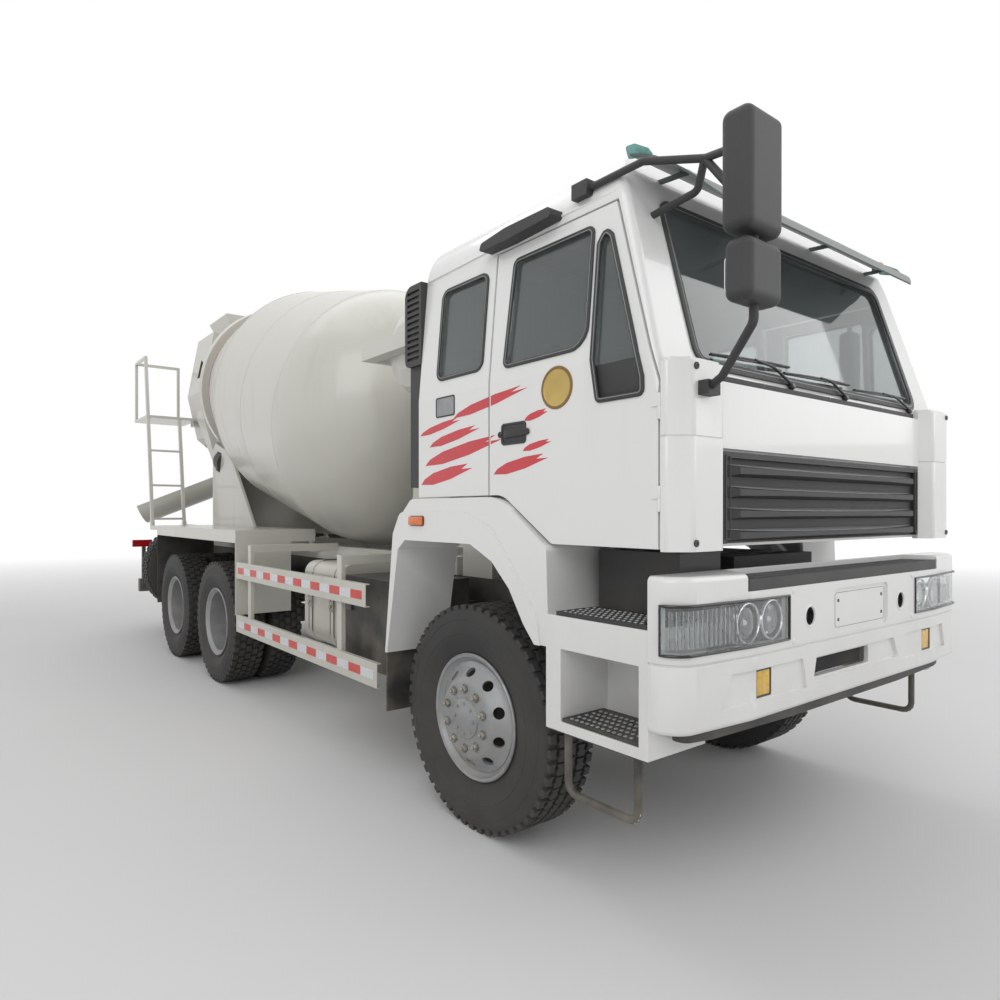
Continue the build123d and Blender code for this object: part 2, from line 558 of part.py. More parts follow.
def fairing(side, inset, low, high):
    """Corner fairing between two heights, drawn in by inset."""
    out, ahead = CAB_Y + 3 - inset, FAIRING_X - inset
    plan = [(CAB_FRONT, out), (CAB_FRONT + 22, out, 15), (ahead, CAB_Y - 72, 35), (ahead, 955, 30),
            (ahead - 55, PANEL_Y + inset), (CAB_FRONT, PANEL_Y + inset)]
    return flat_plate([(point[0], side * point[1], *point[2:]) for point in plan], low, high)


fairings = []
for _, side in SIDES:
    fairings.append(join(fairing(side, 0, CAB_FLOOR - 8, JOINT_Z - 3),
                         fairing(side, 5, JOINT_Z - 4, JOINT_Z + 4),
                         fairing(side, 0, JOINT_Z + 3, CAB_COWL + 30),
                         fairing(side, 14, CAB_COWL + 29, CAB_COWL + 42)))
panel = block(CAB_FRONT, CAB_FRONT + 30, -PANEL_Y, PANEL_Y, PANEL_LOW, CAB_COWL - 10)
save("front_panels", join(panel, *fairings))

# grille: a black back plate and bars whose noses taper towards both ends
GRILLE_Y = 880.0
GRILLE_LOW, GRILLE_TOP = CAB_FLOOR + 12, PANEL_LOW - 12
SLATS = 4
SLAT_PITCH = (GRILLE_TOP - GRILLE_LOW) / (SLATS + 0.2)
slats = [block(CAB_FRONT, CAB_FRONT + 12, -GRILLE_Y, GRILLE_Y, GRILLE_LOW, GRILLE_TOP),
         block(CAB_FRONT, CAB_FRONT + 34, -GRILLE_Y, GRILLE_Y, GRILLE_TOP - 22, GRILLE_TOP)]
for _, side in SIDES:
    slats.append(block(CAB_FRONT, CAB_FRONT + 34, side * GRILLE_Y, side * (GRILLE_Y - 22), GRILLE_LOW,
                       GRILLE_TOP))
for i in range(SLATS):
    z = GRILLE_LOW + 0.35 * SLAT_PITCH + SLAT_PITCH * i
    bar_plan = mirrored([(CAB_FRONT + 10, GRILLE_Y - 50), (CAB_FRONT + 46, GRILLE_Y - 90),
                         (CAB_FRONT + 56, 480, 300)])
    section = side_plate([(CAB_FRONT + 8, z - 22), (CAB_FRONT + 58, z - 9, 6), (CAB_FRONT + 58, z + 9, 6),
                          (CAB_FRONT + 8, z + 26)], -GRILLE_Y, GRILLE_Y)
    slats.append(flat_plate(bar_plan, z - 30, z + 30) & section)
save("grille", join(*slats))

# sun visor: a sheet that bows down and forward, its ends swept back
VISOR_Z = DOOR_TOP + 100
VISOR_Y = 1110.0
VISOR_X = screen_x(VISOR_Z)
slope = [(VISOR_X + 12, VISOR_Z + 78), (VISOR_X + 150, VISOR_Z + 20, 260), (VISOR_X + 235, VISOR_Z - 92),
         (VISOR_X + 229, VISOR_Z - 96), (VISOR_X + 147, VISOR_Z + 12, 254), (VISOR_X + 10, VISOR_Z + 70)]
visor = side_plate(slope, -VISOR_Y, VISOR_Y) & flat_plate(
    mirrored([(VISOR_X, VISOR_Y), (VISOR_X + 110, VISOR_Y, 70), (VISOR_X + 245, VISOR_Y - 260, 500)]),
    VISOR_Z - 120, VISOR_Z + 100)
around = cab_body(-SEAT)
visor_arms = [bar((VISOR_X - 60, y, VISOR_Z + 40), (VISOR_X + 120, y, VISOR_Z + 26), 16) - around
              for y in (-900, -300, 300, 900)]
save("sun_visor", join(visor, *visor_arms))

TUBE_R = 14.0
BASE_Z = CAB_COWL - 65
BRACKET_Z = DOOR_TOP + 100
MIRROR_X, MIRROR_Y = 1455.0, -1200.0
MIRROR_TOP = DOOR_TOP + 40
FORK = (1200, -1065, BRACKET_Z - 45)
big_head = soft_block(MIRROR_X - 55, MIRROR_X + 45, MIRROR_Y - 100, MIRROR_Y + 100, MIRROR_TOP - 370,
                      MIRROR_TOP, 30)
small_head = soft_block(MIRROR_X - 45, MIRROR_X + 45, MIRROR_Y - 100, MIRROR_Y + 95, MIRROR_TOP - 580,
                        MIRROR_TOP - 390, 30)
mirror_arms = [
    pipe([(FAIRING_X + 20, -1080, BASE_Z), (FAIRING_X + 90, -1110, BASE_Z + 25),
          (MIRROR_X, MIRROR_Y, MIRROR_TOP - 630),
          (MIRROR_X, MIRROR_Y, MIRROR_TOP - 360)], TUBE_R, 30),
    pipe([(720, -1150, BRACKET_Z), (1000, -1140, BRACKET_Z + 5), FORK, (MIRROR_X, -1150, MIRROR_TOP - 50)],
         TUBE_R, 40),
    pipe([FORK, (1300, -1080, BRACKET_Z - 180), (MIRROR_X, -1150, BRACKET_Z - 195)], TUBE_R, 35),
    pipe([FORK, (1150, -1030, BRACKET_Z - 130), (940, -1010, BRACKET_Z - 140)], TUBE_R, 40) - around]
mirror_feet = [block(FAIRING_X + SEAT, FAIRING_X + 40, -1110, -1040, BASE_Z - 25, BASE_Z + 25),
               block(680, 760, -1175, -1090, BRACKET_Z - 30, BRACKET_Z + 30) - around]
save("mirror_right", join(big_head, small_head, *mirror_arms, *mirror_feet))
arms = [pipe([(798, 1130, z), (770, 1245, z), (655, 1275, z), (655, 1275, end)], TUBE_R, 25) - around
        for z, end in ((DOOR_TOP - 28, DOOR_TOP - 100), (2136, 2270))]
save("mirror_left", join(soft_block(610, 700, 1222, 1330, 2250, DOOR_TOP - 80, 25), *arms))
# kerb mirror: a long tapered housing on the roof gutter, clear above the door
KERB_LOW = DOOR_TOP + GAP + 6
kerb_outline = [(152, KERB_LOW + 4, 8), (165, KERB_LOW + 38, 20), (330, KERB_LOW + 56, 80),
                (600, KERB_LOW + 52, 12),
                (606, KERB_LOW + 12, 12), (330, KERB_LOW, 60)]
save("kerb_mirror", side_plate(kerb_outline, 80 - CAB_Y, -CAB_Y - 15) - around)

INTAKE_Y0, INTAKE_Y1 = -1190.0, -1080.0
INTAKE_LOW, INTAKE_TOP = 2300.0, 2730.0
INTAKE_REAR = CAB_REAR - 155
LOUVRES = 12
intake = side_plate([(CAB_REAR - SEAT, INTAKE_LOW), (CAB_REAR - SEAT, INTAKE_TOP),
                     (INTAKE_REAR, INTAKE_TOP, 60),
                     (INTAKE_REAR, INTAKE_LOW, 40)], INTAKE_Y0, INTAKE_Y1)
for i in range(LOUVRES):
    z = INTAKE_LOW + 40 + i * (INTAKE_TOP - INTAKE_LOW - 80) / (LOUVRES - 1)
    intake -= block(INTAKE_REAR + 22, CAB_REAR - 22, INTAKE_Y0 - 5, INTAKE_Y0 + 12, z - 8, z + 8)
save("snorkel", join(intake, block(CAB_REAR - 130, CAB_REAR - SEAT, INTAKE_Y0 + 20, INTAKE_Y1 - 10,
                                   1660, INTAKE_LOW + 10)))

# ------------------------------------------------------------------ cab inside
dashboard = side_plate([(CAB_FRONT - CAB_WALL, 1990), (880, 1990), (800, 1900), (800, 1780), (900, 1700),
                        (CAB_FRONT - CAB_WALL, 1700)], -1100, 1100)
steering = (Torus(225, 16) + Cylinder(60, 30) + Box(430, 40, 14) + Box(40, 430, 14)
            + Pos(0, 0, -150) * Cylinder(35, 300))
save("dashboard", dashboard + Pos(670, 600, 2070) * Rot(0, -35, 0) * steering)
seat_outline = [(150, 1690), (640, 1690), (660, 1760), (640, 1800), (230, 1790), (180, 1880),
                (110, 2420),
                (40, 2420), (60, 1900), (150, 1790)]
seats = [side_plate([(x - 40, z) for x, z in seat_outline], side * 330, side * 860) for _, side in SIDES]
pedestals = [block(180, 520, side * 400, side * 790, CAB_SILL + CAB_WALL, 1690) for _, side in SIDES]
save("seats", *[seat + foot for seat, foot in zip(seats, pedestals)])

# ------------------------------------------------------------------ bumper and lamps


def bumper_plan(inset, back):
    """Bumper seen from above, drawn in by inset and open behind."""
    return mirrored([(back, BUMPER_Y - inset), (BUMPER_FRONT - 35 - inset, BUMPER_Y - inset, 110 - inset),
                     (BUMPER_FRONT - inset, BUMPER_Y - 420, 400)])


def bumper_skin(depth, low, high):
    """Outer skin of the bumper down to a depth, between two heights."""
    return flat_plate(bumper_plan(-20, STEP_BACK), low, high) - flat_plate(bumper_plan(depth, STEP_BACK - 10),
            low, high)


LAMP_LOW, LAMP_TOP, LAMP_IN = 1048.0, 1208.0, 590.0
LAMP_BACK = BUMPER_FRONT - 105
FOG_Y, FOG_Z, FOG_HALF = 750.0, 900.0, 52.0
SOCKET_Y, SOCKET_Z, SOCKET_R = 425.0, 1118.0, 36.0
CREASE_Z = 1010.0
TRIM_LOW, TRIM_TOP = BUMPER_TOP - 66, BUMPER_TOP - 22
FACE_IN = BUMPER_FRONT - 60


def trim_plan(grow, ahead):
    """Step pad on top of the bumper, seen from above."""
    return mirrored([(STEP_BACK + 15 - grow, 800 + grow), (BUMPER_FRONT - 12, 870 + grow),
                     (ahead, 855 + grow)])


bumper = flat_plate(bumper_plan(0, STEP_BACK), BUMPER_LOW, BUMPER_TOP)
rounded = [edge for edge in bumper.edges() if edge.center().X > STEP_BACK + 1
           and min(abs(edge.center().Z - BUMPER_LOW), abs(edge.center().Z - BUMPER_TOP)) < 1]
bumper = Part() + fillet(rounded, 22)
bumper -= flat_plate(bumper_plan(BUMPER_T, STEP_BACK - 10), BUMPER_LOW + BUMPER_T, BUMPER_TOP - BUMPER_T)
bumper -= flat_plate(trim_plan(SEAT, BUMPER_FRONT + 50), TRIM_LOW - SEAT, BUMPER_TOP + 10)
bumper -= bumper_skin(6, CREASE_Z - 4, CREASE_Z + 4)
for _, side in SIDES:
    bumper -= block(LAMP_BACK, BUMPER_FRONT + 20, side * LAMP_IN, side * (BUMPER_Y + 20), LAMP_LOW, LAMP_TOP)
    bumper -= rod((FACE_IN, side * SOCKET_Y, SOCKET_Z), (BUMPER_FRONT + 20, side * SOCKET_Y, SOCKET_Z),
                  SOCKET_R)
    fog_pocket = [(side * 450, FOG_Z - 60), (side * 480, FOG_Z + 58, 12), (side * 960, FOG_Z + 58, 12),
                  (side * 1010, FOG_Z - 60)]
    bumper -= bumper_skin(10, FOG_Z - 70, FOG_Z + 70) & cross_plate(fog_pocket, FACE_IN, BUMPER_FRONT + 20)
    bumper -= block(FACE_IN, BUMPER_FRONT + 20, side * FOG_Y - FOG_HALF, side * FOG_Y + FOG_HALF,
                    FOG_Z - FOG_HALF, FOG_Z + FOG_HALF)
bumper -= cross_plate([(-400, 858, 10), (-375, 952, 10), (350, 952, 10), (400, 858, 10)],
                      BUMPER_FRONT - 12, BUMPER_FRONT + 20)
bumper -= cross_plate(rect(-375, 115, 868, 942), FACE_IN, BUMPER_FRONT + 20, 12)
bumper -= cross_plate(rect(-225, 285, 1030, 1212), BUMPER_FRONT - 8, BUMPER_FRONT + 20, 22)
save("bumper", bumper)

lamp_body = flat_plate(bumper_plan(4, STEP_BACK), LAMP_LOW + SEAT, LAMP_TOP - SEAT) - flat_plate(
    bumper_plan(70, STEP_BACK - 10), LAMP_LOW, LAMP_TOP)
lamps = []
for _, side in SIDES:
    lamps.append(lamp_body & block(LAMP_BACK + SEAT, BUMPER_FRONT + 20, side * (LAMP_IN + SEAT),
                                   side * (BUMPER_Y + 20), LAMP_LOW, LAMP_TOP))
    lamps.append(block(BUMPER_FRONT - 50, BUMPER_FRONT - 14, side * FOG_Y - FOG_HALF + SEAT,
                       side * FOG_Y + FOG_HALF - SEAT, FOG_Z - FOG_HALF + SEAT, FOG_Z + FOG_HALF - SEAT))
save("front_lamps", *lamps)
save("tail_lamps", *[block(BEAM_X0 + 5, BEAM_X0 + 55, side * 1000, side * 1240, TAIL_LAMP_Z0, TAIL_LAMP_Z1)
                     for _, side in SIDES])

step_pad = flat_plate(trim_plan(0, BUMPER_FRONT - 4), TRIM_LOW, TRIM_TOP)
for x0, x1 in ((STEP_BACK + 32, STEP_BACK + 74), (STEP_BACK + 86, STEP_BACK + 128)):
    step_pad -= block(x0, x1, -780, 780, TRIM_TOP - 5, TRIM_TOP + 5)
valance = flat_plate(mirrored([(STEP_BACK + 10, 1120), (STEP_BACK + 60, 1150, 40), (FACE_IN, 1000, 60),
                               (BUMPER_FRONT - 38, 500, 200)]), BUMPER_LOW - 45, BUMPER_LOW)
save("bumper_trim", step_pad, valance)

# ------------------------------------------------------------------ front fenders and steps
FENDER_TOP = CAB_SILL - GAP
FLARE = 12.0               # how far the band round the arch stands out
LIP = [(ARCH_X1, 985), (535, 985), (470, 1060), (380, 1200), (265, 1310), (110, ARCH_TOP), (-440, ARCH_TOP),
       (-510, ARCH_TOP - 52), (-618, 760)]
fender_outline = [(-640, 760), (-560, ARCH_TOP + 30), (-470, FENDER_TOP - 60), (-400, FENDER_TOP, 60),
                  (ARCH_X0 - 2, FENDER_TOP, 2 * SILL_R), (ARCH_X1 - 8, CAB_FLOOR - 14, 30),
                  (ARCH_X1 + 2, 1130)]
hollow_outline = [(-470, ARCH_TOP + FENDER_T), (-540, ARCH_TOP + 40), (-455, FENDER_TOP - 74),
                  (-392, FENDER_TOP - FENDER_T), (ARCH_X0 - 8, FENDER_TOP - FENDER_T, 2 * SILL_R),
                  (ARCH_X1 - 22, CAB_FLOOR - 28), (ARCH_X1 - FENDER_T, 1120), (ARCH_X1 - FENDER_T, 1010),
                  (545, 1010), (482, 1070), (392, 1212), (270, 1326), (112, ARCH_TOP + FENDER_T)]
flare_outline = [(-640, 760), (-560, ARCH_TOP + 30), (-490, ARCH_TOP + 148, 60), (60, ARCH_TOP + 148, 200),
                 (250, 1465, 150), (400, 1290, 200), (545, 1110, 100), (565, 985)]
fenders = []
for _, side in SIDES:
    skin = side_plate(fender_outline + LIP, side * FENDER_IN, side * (FENDER_Y - FLARE))
    skin -= side_plate(hollow_outline, side * (FENDER_IN - 10), side * (FENDER_Y - FLARE - FENDER_T))
    flare = side_plate(flare_outline + LIP[1:], side * (FENDER_Y - FLARE - FENDER_T), side * FENDER_Y)
    fenders.append(skin + flare)
save("fenders", *fenders)

STEP_X0, STEP_X1 = ARCH_X1 + 4, STEP_BACK - 2
TREAD_1, TREAD_2 = 1120.0, 705.0
LOOP_Z = 415.0             # bottom of the fold-down step
step_boxes, treads = [], []
for _, side in SIDES:
    y_in, y_out = side * 900, side * FENDER_Y
    box = block(STEP_X0, STEP_X1, y_in, y_out, TREAD_2 - 40, TREAD_1)
    box -= block(STEP_X0 + 80, STEP_X1 - 40, y_in + side * 60, y_out + side * 10, TREAD_2, TREAD_1 - 130)
    box -= block(STEP_X0 + 14, STEP_X1 - 14, y_in - side * 10, y_in + side * 46, TREAD_2 - 26, TREAD_1 - 14)
    treads.append(block(STEP_X0 + 50, STEP_X1 - 10, side * 1000, side * (FENDER_Y - 8), TREAD_1,
                        TREAD_1 + 16))
    treads.append(block(STEP_X0 + 84, STEP_X1 - 44, side * 990, side * (FENDER_Y - 8), TREAD_2, TREAD_2 + 14))
    bracket = block(700, 760, side * RAIL_Y, side * 960, RAIL_LOW + 20, RAIL_LOW + 80)
    loop = pipe([(680, side * 1190, TREAD_2 - 30), (680, side * 1190, LOOP_Z), (1020, side * 1190, LOOP_Z),
                 (1020, side * 1190, TREAD_2 - 30)], 14, 45)
    step_boxes.append(join(box, bracket, loop))
save("steps", *step_boxes)
save("step_treads", *treads)

# ------------------------------------------------------------------ rear deck, flaps and guards
DECK_FRONT = REAR_1 + TYRE_R + 60
DECK_REAR = REAR_2 - DECK_REAR_OVER
decks = []
for _, side in SIDES:
    deck = block(DECK_REAR, DECK_FRONT, side * DECK_IN, side * DECK_Y, DECK_TOP - 108, DECK_TOP)
    deck -= block(DECK_REAR + DECK_T, DECK_FRONT - DECK_T, side * (DECK_IN + DECK_T),
                  side * (DECK_Y - DECK_T),
                  DECK_TOP - 110, DECK_TOP - DECK_T)
    apron = block(DECK_FRONT - DECK_T, DECK_FRONT, side * 750, side * DECK_Y, 670, DECK_TOP - 100)
    decks.append(join(deck, apron))
deck_beams = [block(x - 30, x + 30, side * RAIL_Y, side * (DECK_IN + DECK_T), SUB_TOP - 60, SUB_TOP + 10) +
              block(x - 30, x + 30, side * (DECK_IN - 30), side * (DECK_IN), SUB_TOP - 60, DECK_TOP - 20)
              for x in (DECK_FRONT - 100, REAR_1 - 500, REAR_2 + 100, DECK_REAR + 100) for _, side in SIDES]
save("rear_deck", join(decks[0], *deck_beams[0::2]), join(decks[1], *deck_beams[1::2]))

flaps = []
for _, side in SIDES:
    flaps.append(block(-652, -640 - SEAT, side * 860, side * 1225, 430, 800))
    flaps.append(block(DECK_REAR - 8, DECK_REAR - SEAT, side * 620, side * 1240, 500, 1300))
save("mud_flaps", *flaps)

GUARD_X0, GUARD_X1 = DECK_FRONT + 20, -850.0
guards = []
for _, side in SIDES:
    rails_of_guard = []
    for low, high, front in ((980, 1115, GUARD_X1), (540, 680, GUARD_X1 + 130)):
        board = block(GUARD_X0, front, side * (GUARD_Y - 30), side * GUARD_Y, low, high)
        board -= block(GUARD_X0 - 5, front + 5, side * (GUARD_Y - 35), side * (GUARD_Y - 5), low + 6,
                       high - 6)
        rails_of_guard.append(board)
    for x in (-2780, -1230):
        rails_of_guard.append(block(x - 30, x + 30, side * (GUARD_Y - 60), side * (GUARD_Y - 30), 540,
                                    SUB_TOP + 30))
        rails_of_guard.append(block(x - 30, x + 30, side * RAIL_Y, side * (GUARD_Y - 30), SUB_TOP - 30,
                                    SUB_TOP + 30))
    guards.append(join(*rails_of_guard))
save("side_guards", *guards)

# ------------------------------------------------------------------ tanks
TANK_X0, TANK_X1 = -2000.0, -1450.0
tank_section = [(-1090, 610), (-1090, 1180), (-500, 1180), (-500, 610)]
fuel_tank = cross_plate(tank_section, TANK_X0, TANK_X1, 90)
straps = [cross_plate([(-1096, 604), (-1096, 1186), (-494, 1186), (-494, 604)], x - 25, x + 25, 94)
          for x in (TANK_X0 + 110, TANK_X1 - 110)]
hangers = [block(x - 25, x + 25, -500, -RAIL_Y, 880, 940) for x in (TANK_X0 + 110, TANK_X1 - 110)]
save("fuel_tank", join(fuel_tank, *straps, *hangers))
box_right = block(-1400, -760, -1080, -560, 560, 1120)
box_arm = [block(x - 25, x + 25, -560, -RAIL_Y, 900, 960) for x in (-1300, -860)]
air_tanks = [join(rod((-2000, 900, z), (-1300, 900, z), 120),
                  block(-1900, -1850, RAIL_Y, 900, z - 20, z + 20),
                  block(-1450, -1400, RAIL_Y, 900, z - 20, z + 20)) for z in (1000, 730 + 130)]
exhaust = join(rod((-1200, 760, 900), (-740, 760, 900), 200), block(-1000, -940, RAIL_Y, 760, 880, 960))
bin_right = block(STEP_X0 + 52, STEP_X1 - 52, -720, -985, TREAD_1 + SEAT, CAB_FLOOR - 25)
bin_right += block(STEP_X0 + 52, STEP_X1 - 52, -720, -895, TREAD_1 - 120, TREAD_1 + 5)
save("side_boxes", join(box_right, *box_arm), *air_tanks, exhaust, bin_right)

# ------------------------------------------------------------------ mixer drum
SLOPE = math.radians(DRUM_SLOPE)
DRUM_AXIS = (-math.cos(SLOPE), 0, math.sin(SLOPE))
DRUM_FRAME = Plane(origin=(DRUM_X, 0, DRUM_Z), x_dir=(0, 1, 0), z_dir=DRUM_AXIS)


def drum_point(along, across=0.0, above=0.0):
    """Point by its distance along the drum's axis, to the left, and square above the axis."""
    return (DRUM_X - along * math.cos(SLOPE) + above * math.sin(SLOPE), across,
            DRUM_Z + along * math.sin(SLOPE) + above * math.cos(SLOPE))


def drum_turned(outline):
    """Ring turned about the drum's axis; points are (along, r)."""
    face = Face(Wire.make_polygon([Vector(r, 0, s) for s, r in outline], close=True))
    return DRUM_FRAME.location * (Part() + Solid.revolve(face, 360, Axis.Z))


def drum_solid(outline, arcs):
    """Solid turned about the drum's axis, with its head drawn as an arc."""
    edges = []
    for a, b in zip(outline, outline[1:] + outline[:1]):
        if (a, b) in arcs:
            edges.append(ThreePointArc(a, arcs[(a, b)], b))
        else:
            edges.append(Line(a, b))
    face = make_face(Plane(origin=(0, 0, 0), x_dir=(1, 0, 0), z_dir=(0, -1, 0)) * Curve(children=edges))
    return DRUM_FRAME.location * revolve(face, axis=Axis.Z)


CONE_R = 0.5 * (DRUM_R + DRUM_MOUTH_R) + 10      # where the rear cone steepens
CONE_AT = 0.5 * (DRUM_BELLY + DRUM_LEN)
FLANGE_R = 300.0
MOUTH_DEEP = 700.0
head = ((FLANGE_R, 40.0), (DRUM_R, DRUM_HEAD))
outline = [(0.0, 0.0), (FLANGE_R, 0.0), head[0], head[1], (DRUM_R, DRUM_BELLY), (CONE_R, CONE_AT),
           (DRUM_MOUTH_R, DRUM_LEN), (DRUM_MOUTH_R - DRUM_WALL, DRUM_LEN),
           (DRUM_MOUTH_R - DRUM_WALL, DRUM_LEN - MOUTH_DEEP), (0.0, DRUM_LEN - MOUTH_DEEP)]
bulge = (FLANGE_R + 0.64 * (DRUM_R - FLANGE_R), 0.30 * DRUM_HEAD)
drum = drum_solid(outline, {head: bulge})
ring = drum_turned([(RING_AT - RING_W / 2, DRUM_MOUTH_R), (RING_AT - RING_W / 2, RING_R),
                    (RING_AT + RING_W / 2, RING_R), (RING_AT + RING_W / 2, DRUM_MOUTH_R)])
save("drum", drum + (ring - drum))

ROLLER_PITCH = RING_R + ROLLER_R + SEAT
ROLLER_A = math.radians(ROLLER_ANGLE)
for side_name, side in SIDES:
    y, above = side * ROLLER_PITCH * math.sin(ROLLER_A), -ROLLER_PITCH * math.cos(ROLLER_A)
    ends = [drum_point(RING_AT + s, y, above) for s in (-70, 70)]
    axle = [drum_point(RING_AT + s, y, above) for s in (-120, 145)]
    save(f"roller_{side_name}", rod(*ends, ROLLER_R) + rod(*axle, 35))

# ------------------------------------------------------------------ drum carriers
front_pedestal = [side_plate([(-1660, SUB_TOP), (-1600, 1760), (-1500, 1980), (-1180, 1980),
                              (-1120, SUB_TOP)],
                             side * (RAIL_Y - 60), side * (RAIL_Y - 20)) for _, side in SIDES]
front_pedestal.append(block(-1600, -1180, 20 - RAIL_Y, RAIL_Y - 20, 1700, 1740))
front_pedestal += [rod(drum_point(-SEAT), drum_point(-160), 260),
                   rod(drum_point(-150), drum_point(-420), 200),
                   rod(drum_point(-410), drum_point(-520), 120)]
front_pedestal.append(block(-1560, -1250, 60 - RAIL_Y, RAIL_Y - 60, 1730, 1960))

# cradle of the water tank, on the frame ahead of the mixer
WATER_X, WATER_Z, WATER_R, WATER_HALF = -850.0, 2520.0, 283.0, 1000.0
CRADLE_LOW, CRADLE_TOP = WATER_Z - 50, WATER_Z + 40
CRADLE_HALF = WATER_R + 42
cradle = []
for _, side in SIDES:
    cradle.append(side_plate([(WATER_X - 150, RAIL_TOP), (WATER_X + 150, RAIL_TOP), (WATER_X + 150, 2150),
                              (WATER_X + CRADLE_HALF, CRADLE_LOW), (WATER_X + CRADLE_HALF, CRADLE_TOP),
                              (WATER_X - CRADLE_HALF, CRADLE_TOP), (WATER_X - CRADLE_HALF, CRADLE_LOW),
                              (WATER_X - 150, 2150)], side * (RAIL_Y - 70), side * (RAIL_Y - 10)))
    cradle.append(block(WATER_X - CRADLE_HALF, WATER_X + CRADLE_HALF, side * (WATER_HALF + SEAT),
                        side * (WATER_HALF + 90), CRADLE_LOW, CRADLE_TOP))
for x in (WATER_X - CRADLE_HALF, WATER_X + CRADLE_HALF - 35):
    cradle.append(block(x, x + 35, -WATER_HALF - 90, WATER_HALF + 90, CRADLE_LOW, CRADLE_TOP))
cradle = join(*cradle) - rod((WATER_X, -WATER_HALF + 40, WATER_Z), (WATER_X, WATER_HALF - 40, WATER_Z),
                             WATER_R + SEAT)
save("front_pedestal", join(*front_pedestal), cradle)
save("water_tank", turned([(0, -WATER_HALF), (140, 18 - WATER_HALF), (235, 70 - WATER_HALF),
                           (WATER_R, 150 - WATER_HALF), (WATER_R, WATER_HALF - 150), (235, WATER_HALF - 70),
                           (140, WATER_HALF - 18), (0, WATER_HALF)], (WATER_X, 0, WATER_Z)))

# rear pedestal: side plates shaped to the drum, and two cross plates that hold the rollers
RING_X, _, RING_Z = drum_point(RING_AT)
PED_Y0, PED_Y1 = 620.0, 650.0
PED_REAR = RING_X - 420
drum_space = drum_turned([(0, 0), (0, 300), (DRUM_HEAD, DRUM_R + 25), (DRUM_BELLY, DRUM_R + 25),
                          (CONE_AT, CONE_R + 25), (RING_AT - 90, CONE_R + 10), (RING_AT - 90, RING_R + 20),
                          (RING_AT + 90, RING_R + 20), (RING_AT + 90, 830), (DRUM_LEN + 100, 680),
                          (DRUM_LEN + 100, 0)])
rear_pedestal = []
roller_spaces = []
for _, side in SIDES:
    y, above = side * ROLLER_PITCH * math.sin(ROLLER_A), -ROLLER_PITCH * math.cos(ROLLER_A)
    roller_spaces.append(rod(drum_point(RING_AT - 78, y, above), drum_point(RING_AT + 78, y, above),
                             ROLLER_R + 15))
    roller_spaces.append(rod(drum_point(RING_AT - 200, y, above), drum_point(RING_AT + 200, y, above), 35.06))
    rear_pedestal.append(side_plate([(PED_REAR, DECK_TOP), (RING_X + 900, DECK_TOP),
                                     (RING_X + 330, RING_Z - 944),
                                     (RING_X + 120, RING_Z - 754), (RING_X - 330, RING_Z - 624),
                                     (PED_REAR, RING_Z - 704)],
                                    side * PED_Y0, side * PED_Y1))
for s in (-95, 120):
    x, _, z = drum_point(RING_AT + s, 0, -ROLLER_PITCH * math.cos(ROLLER_A))
    half = [(DECK_IN - SEAT, SUB_TOP), (DECK_IN - SEAT, DECK_TOP), (PED_Y0 + 5, DECK_TOP),
            (PED_Y0 + 5, z + 70),
            (450, z + 70), (250, z - 180)]
    rear_pedestal.append(cross_plate(half + [(-y, z) for y, z in reversed(half)], x - 12, x + 12))
pedestal = join(*rear_pedestal) - drum_space
for space in roller_spaces:
    pedestal -= space
save("rear_pedestal", pedestal)

# ------------------------------------------------------------------ hopper and discharge funnel
SHEET = 8.0
MOUTH_X, _, MOUTH_Z = drum_point(DRUM_LEN)
OUTLET_Z = CHUTE_PIVOT_Z + 200
COVER_Z = MOUTH_Z + 570


def funnel(sections, inset, over=0.0):
    """Straight-sided funnel through level rectangles given as (z, x0, x1, half width)."""
    faces = []
    for i, (z, x0, x1, half) in enumerate(sections):
        past = over * ((i == len(sections) - 1) - (i == 0))
        faces.append(Pos((x0 + x1) / 2, 0, z + past) * Rectangle(x1 - x0 - 2 * inset, 2 * (half - inset)))
    return loft(faces, ruled=True)


collector_cuts = [(OUTLET_Z, CHUTE_X - 150, CHUTE_X + 190, 170),
                  (MOUTH_Z - 650, CHUTE_X + 80, MOUTH_X - 55, 520),
                  (MOUTH_Z - 130, CHUTE_X + 220, MOUTH_X - 55, 680),
                  (COVER_Z, CHUTE_X + 300, MOUTH_X + 80, 570)]
PLAT_Z = 2670.0
arms = [side_plate([(PED_REAR - SEAT, RING_Z - 834), (PED_REAR - SEAT, RING_Z - 694),
                    (MOUTH_X - 150, PLAT_Z + 110),
                    (MOUTH_X - 330, PLAT_Z + 110), (MOUTH_X - 330, PLAT_Z)], side * 570, side * PED_Y1)
        for _, side in SIDES]
rest = block(CHUTE_X + 280, CHUTE_X + 420, -560, -660, PLAT_Z - 60, PLAT_Z - SEAT)
collector = join(funnel(collector_cuts, 0), *arms, rest) - funnel(collector_cuts, SHEET, 15)
collector -= rod(drum_point(DRUM_LEN - 300), drum_point(DRUM_LEN + 350), DRUM_MOUTH_R + 30)

feed_cuts = [(MOUTH_Z + 90, MOUTH_X - 40, MOUTH_X + 130, 190),
             (MOUTH_Z + 420, MOUTH_X - 380, MOUTH_X + 20, 270),
             (MOUTH_Z + 820, MOUTH_X - 580, MOUTH_X + 90, 420)]
cover = block(CHUTE_X + 300, MOUTH_X + 80, -570, 570, COVER_Z, COVER_Z + SHEET)
hopper = join(funnel(feed_cuts, 0), cover) - funnel(feed_cuts, SHEET, 15)
save("hopper", hopper + collector)

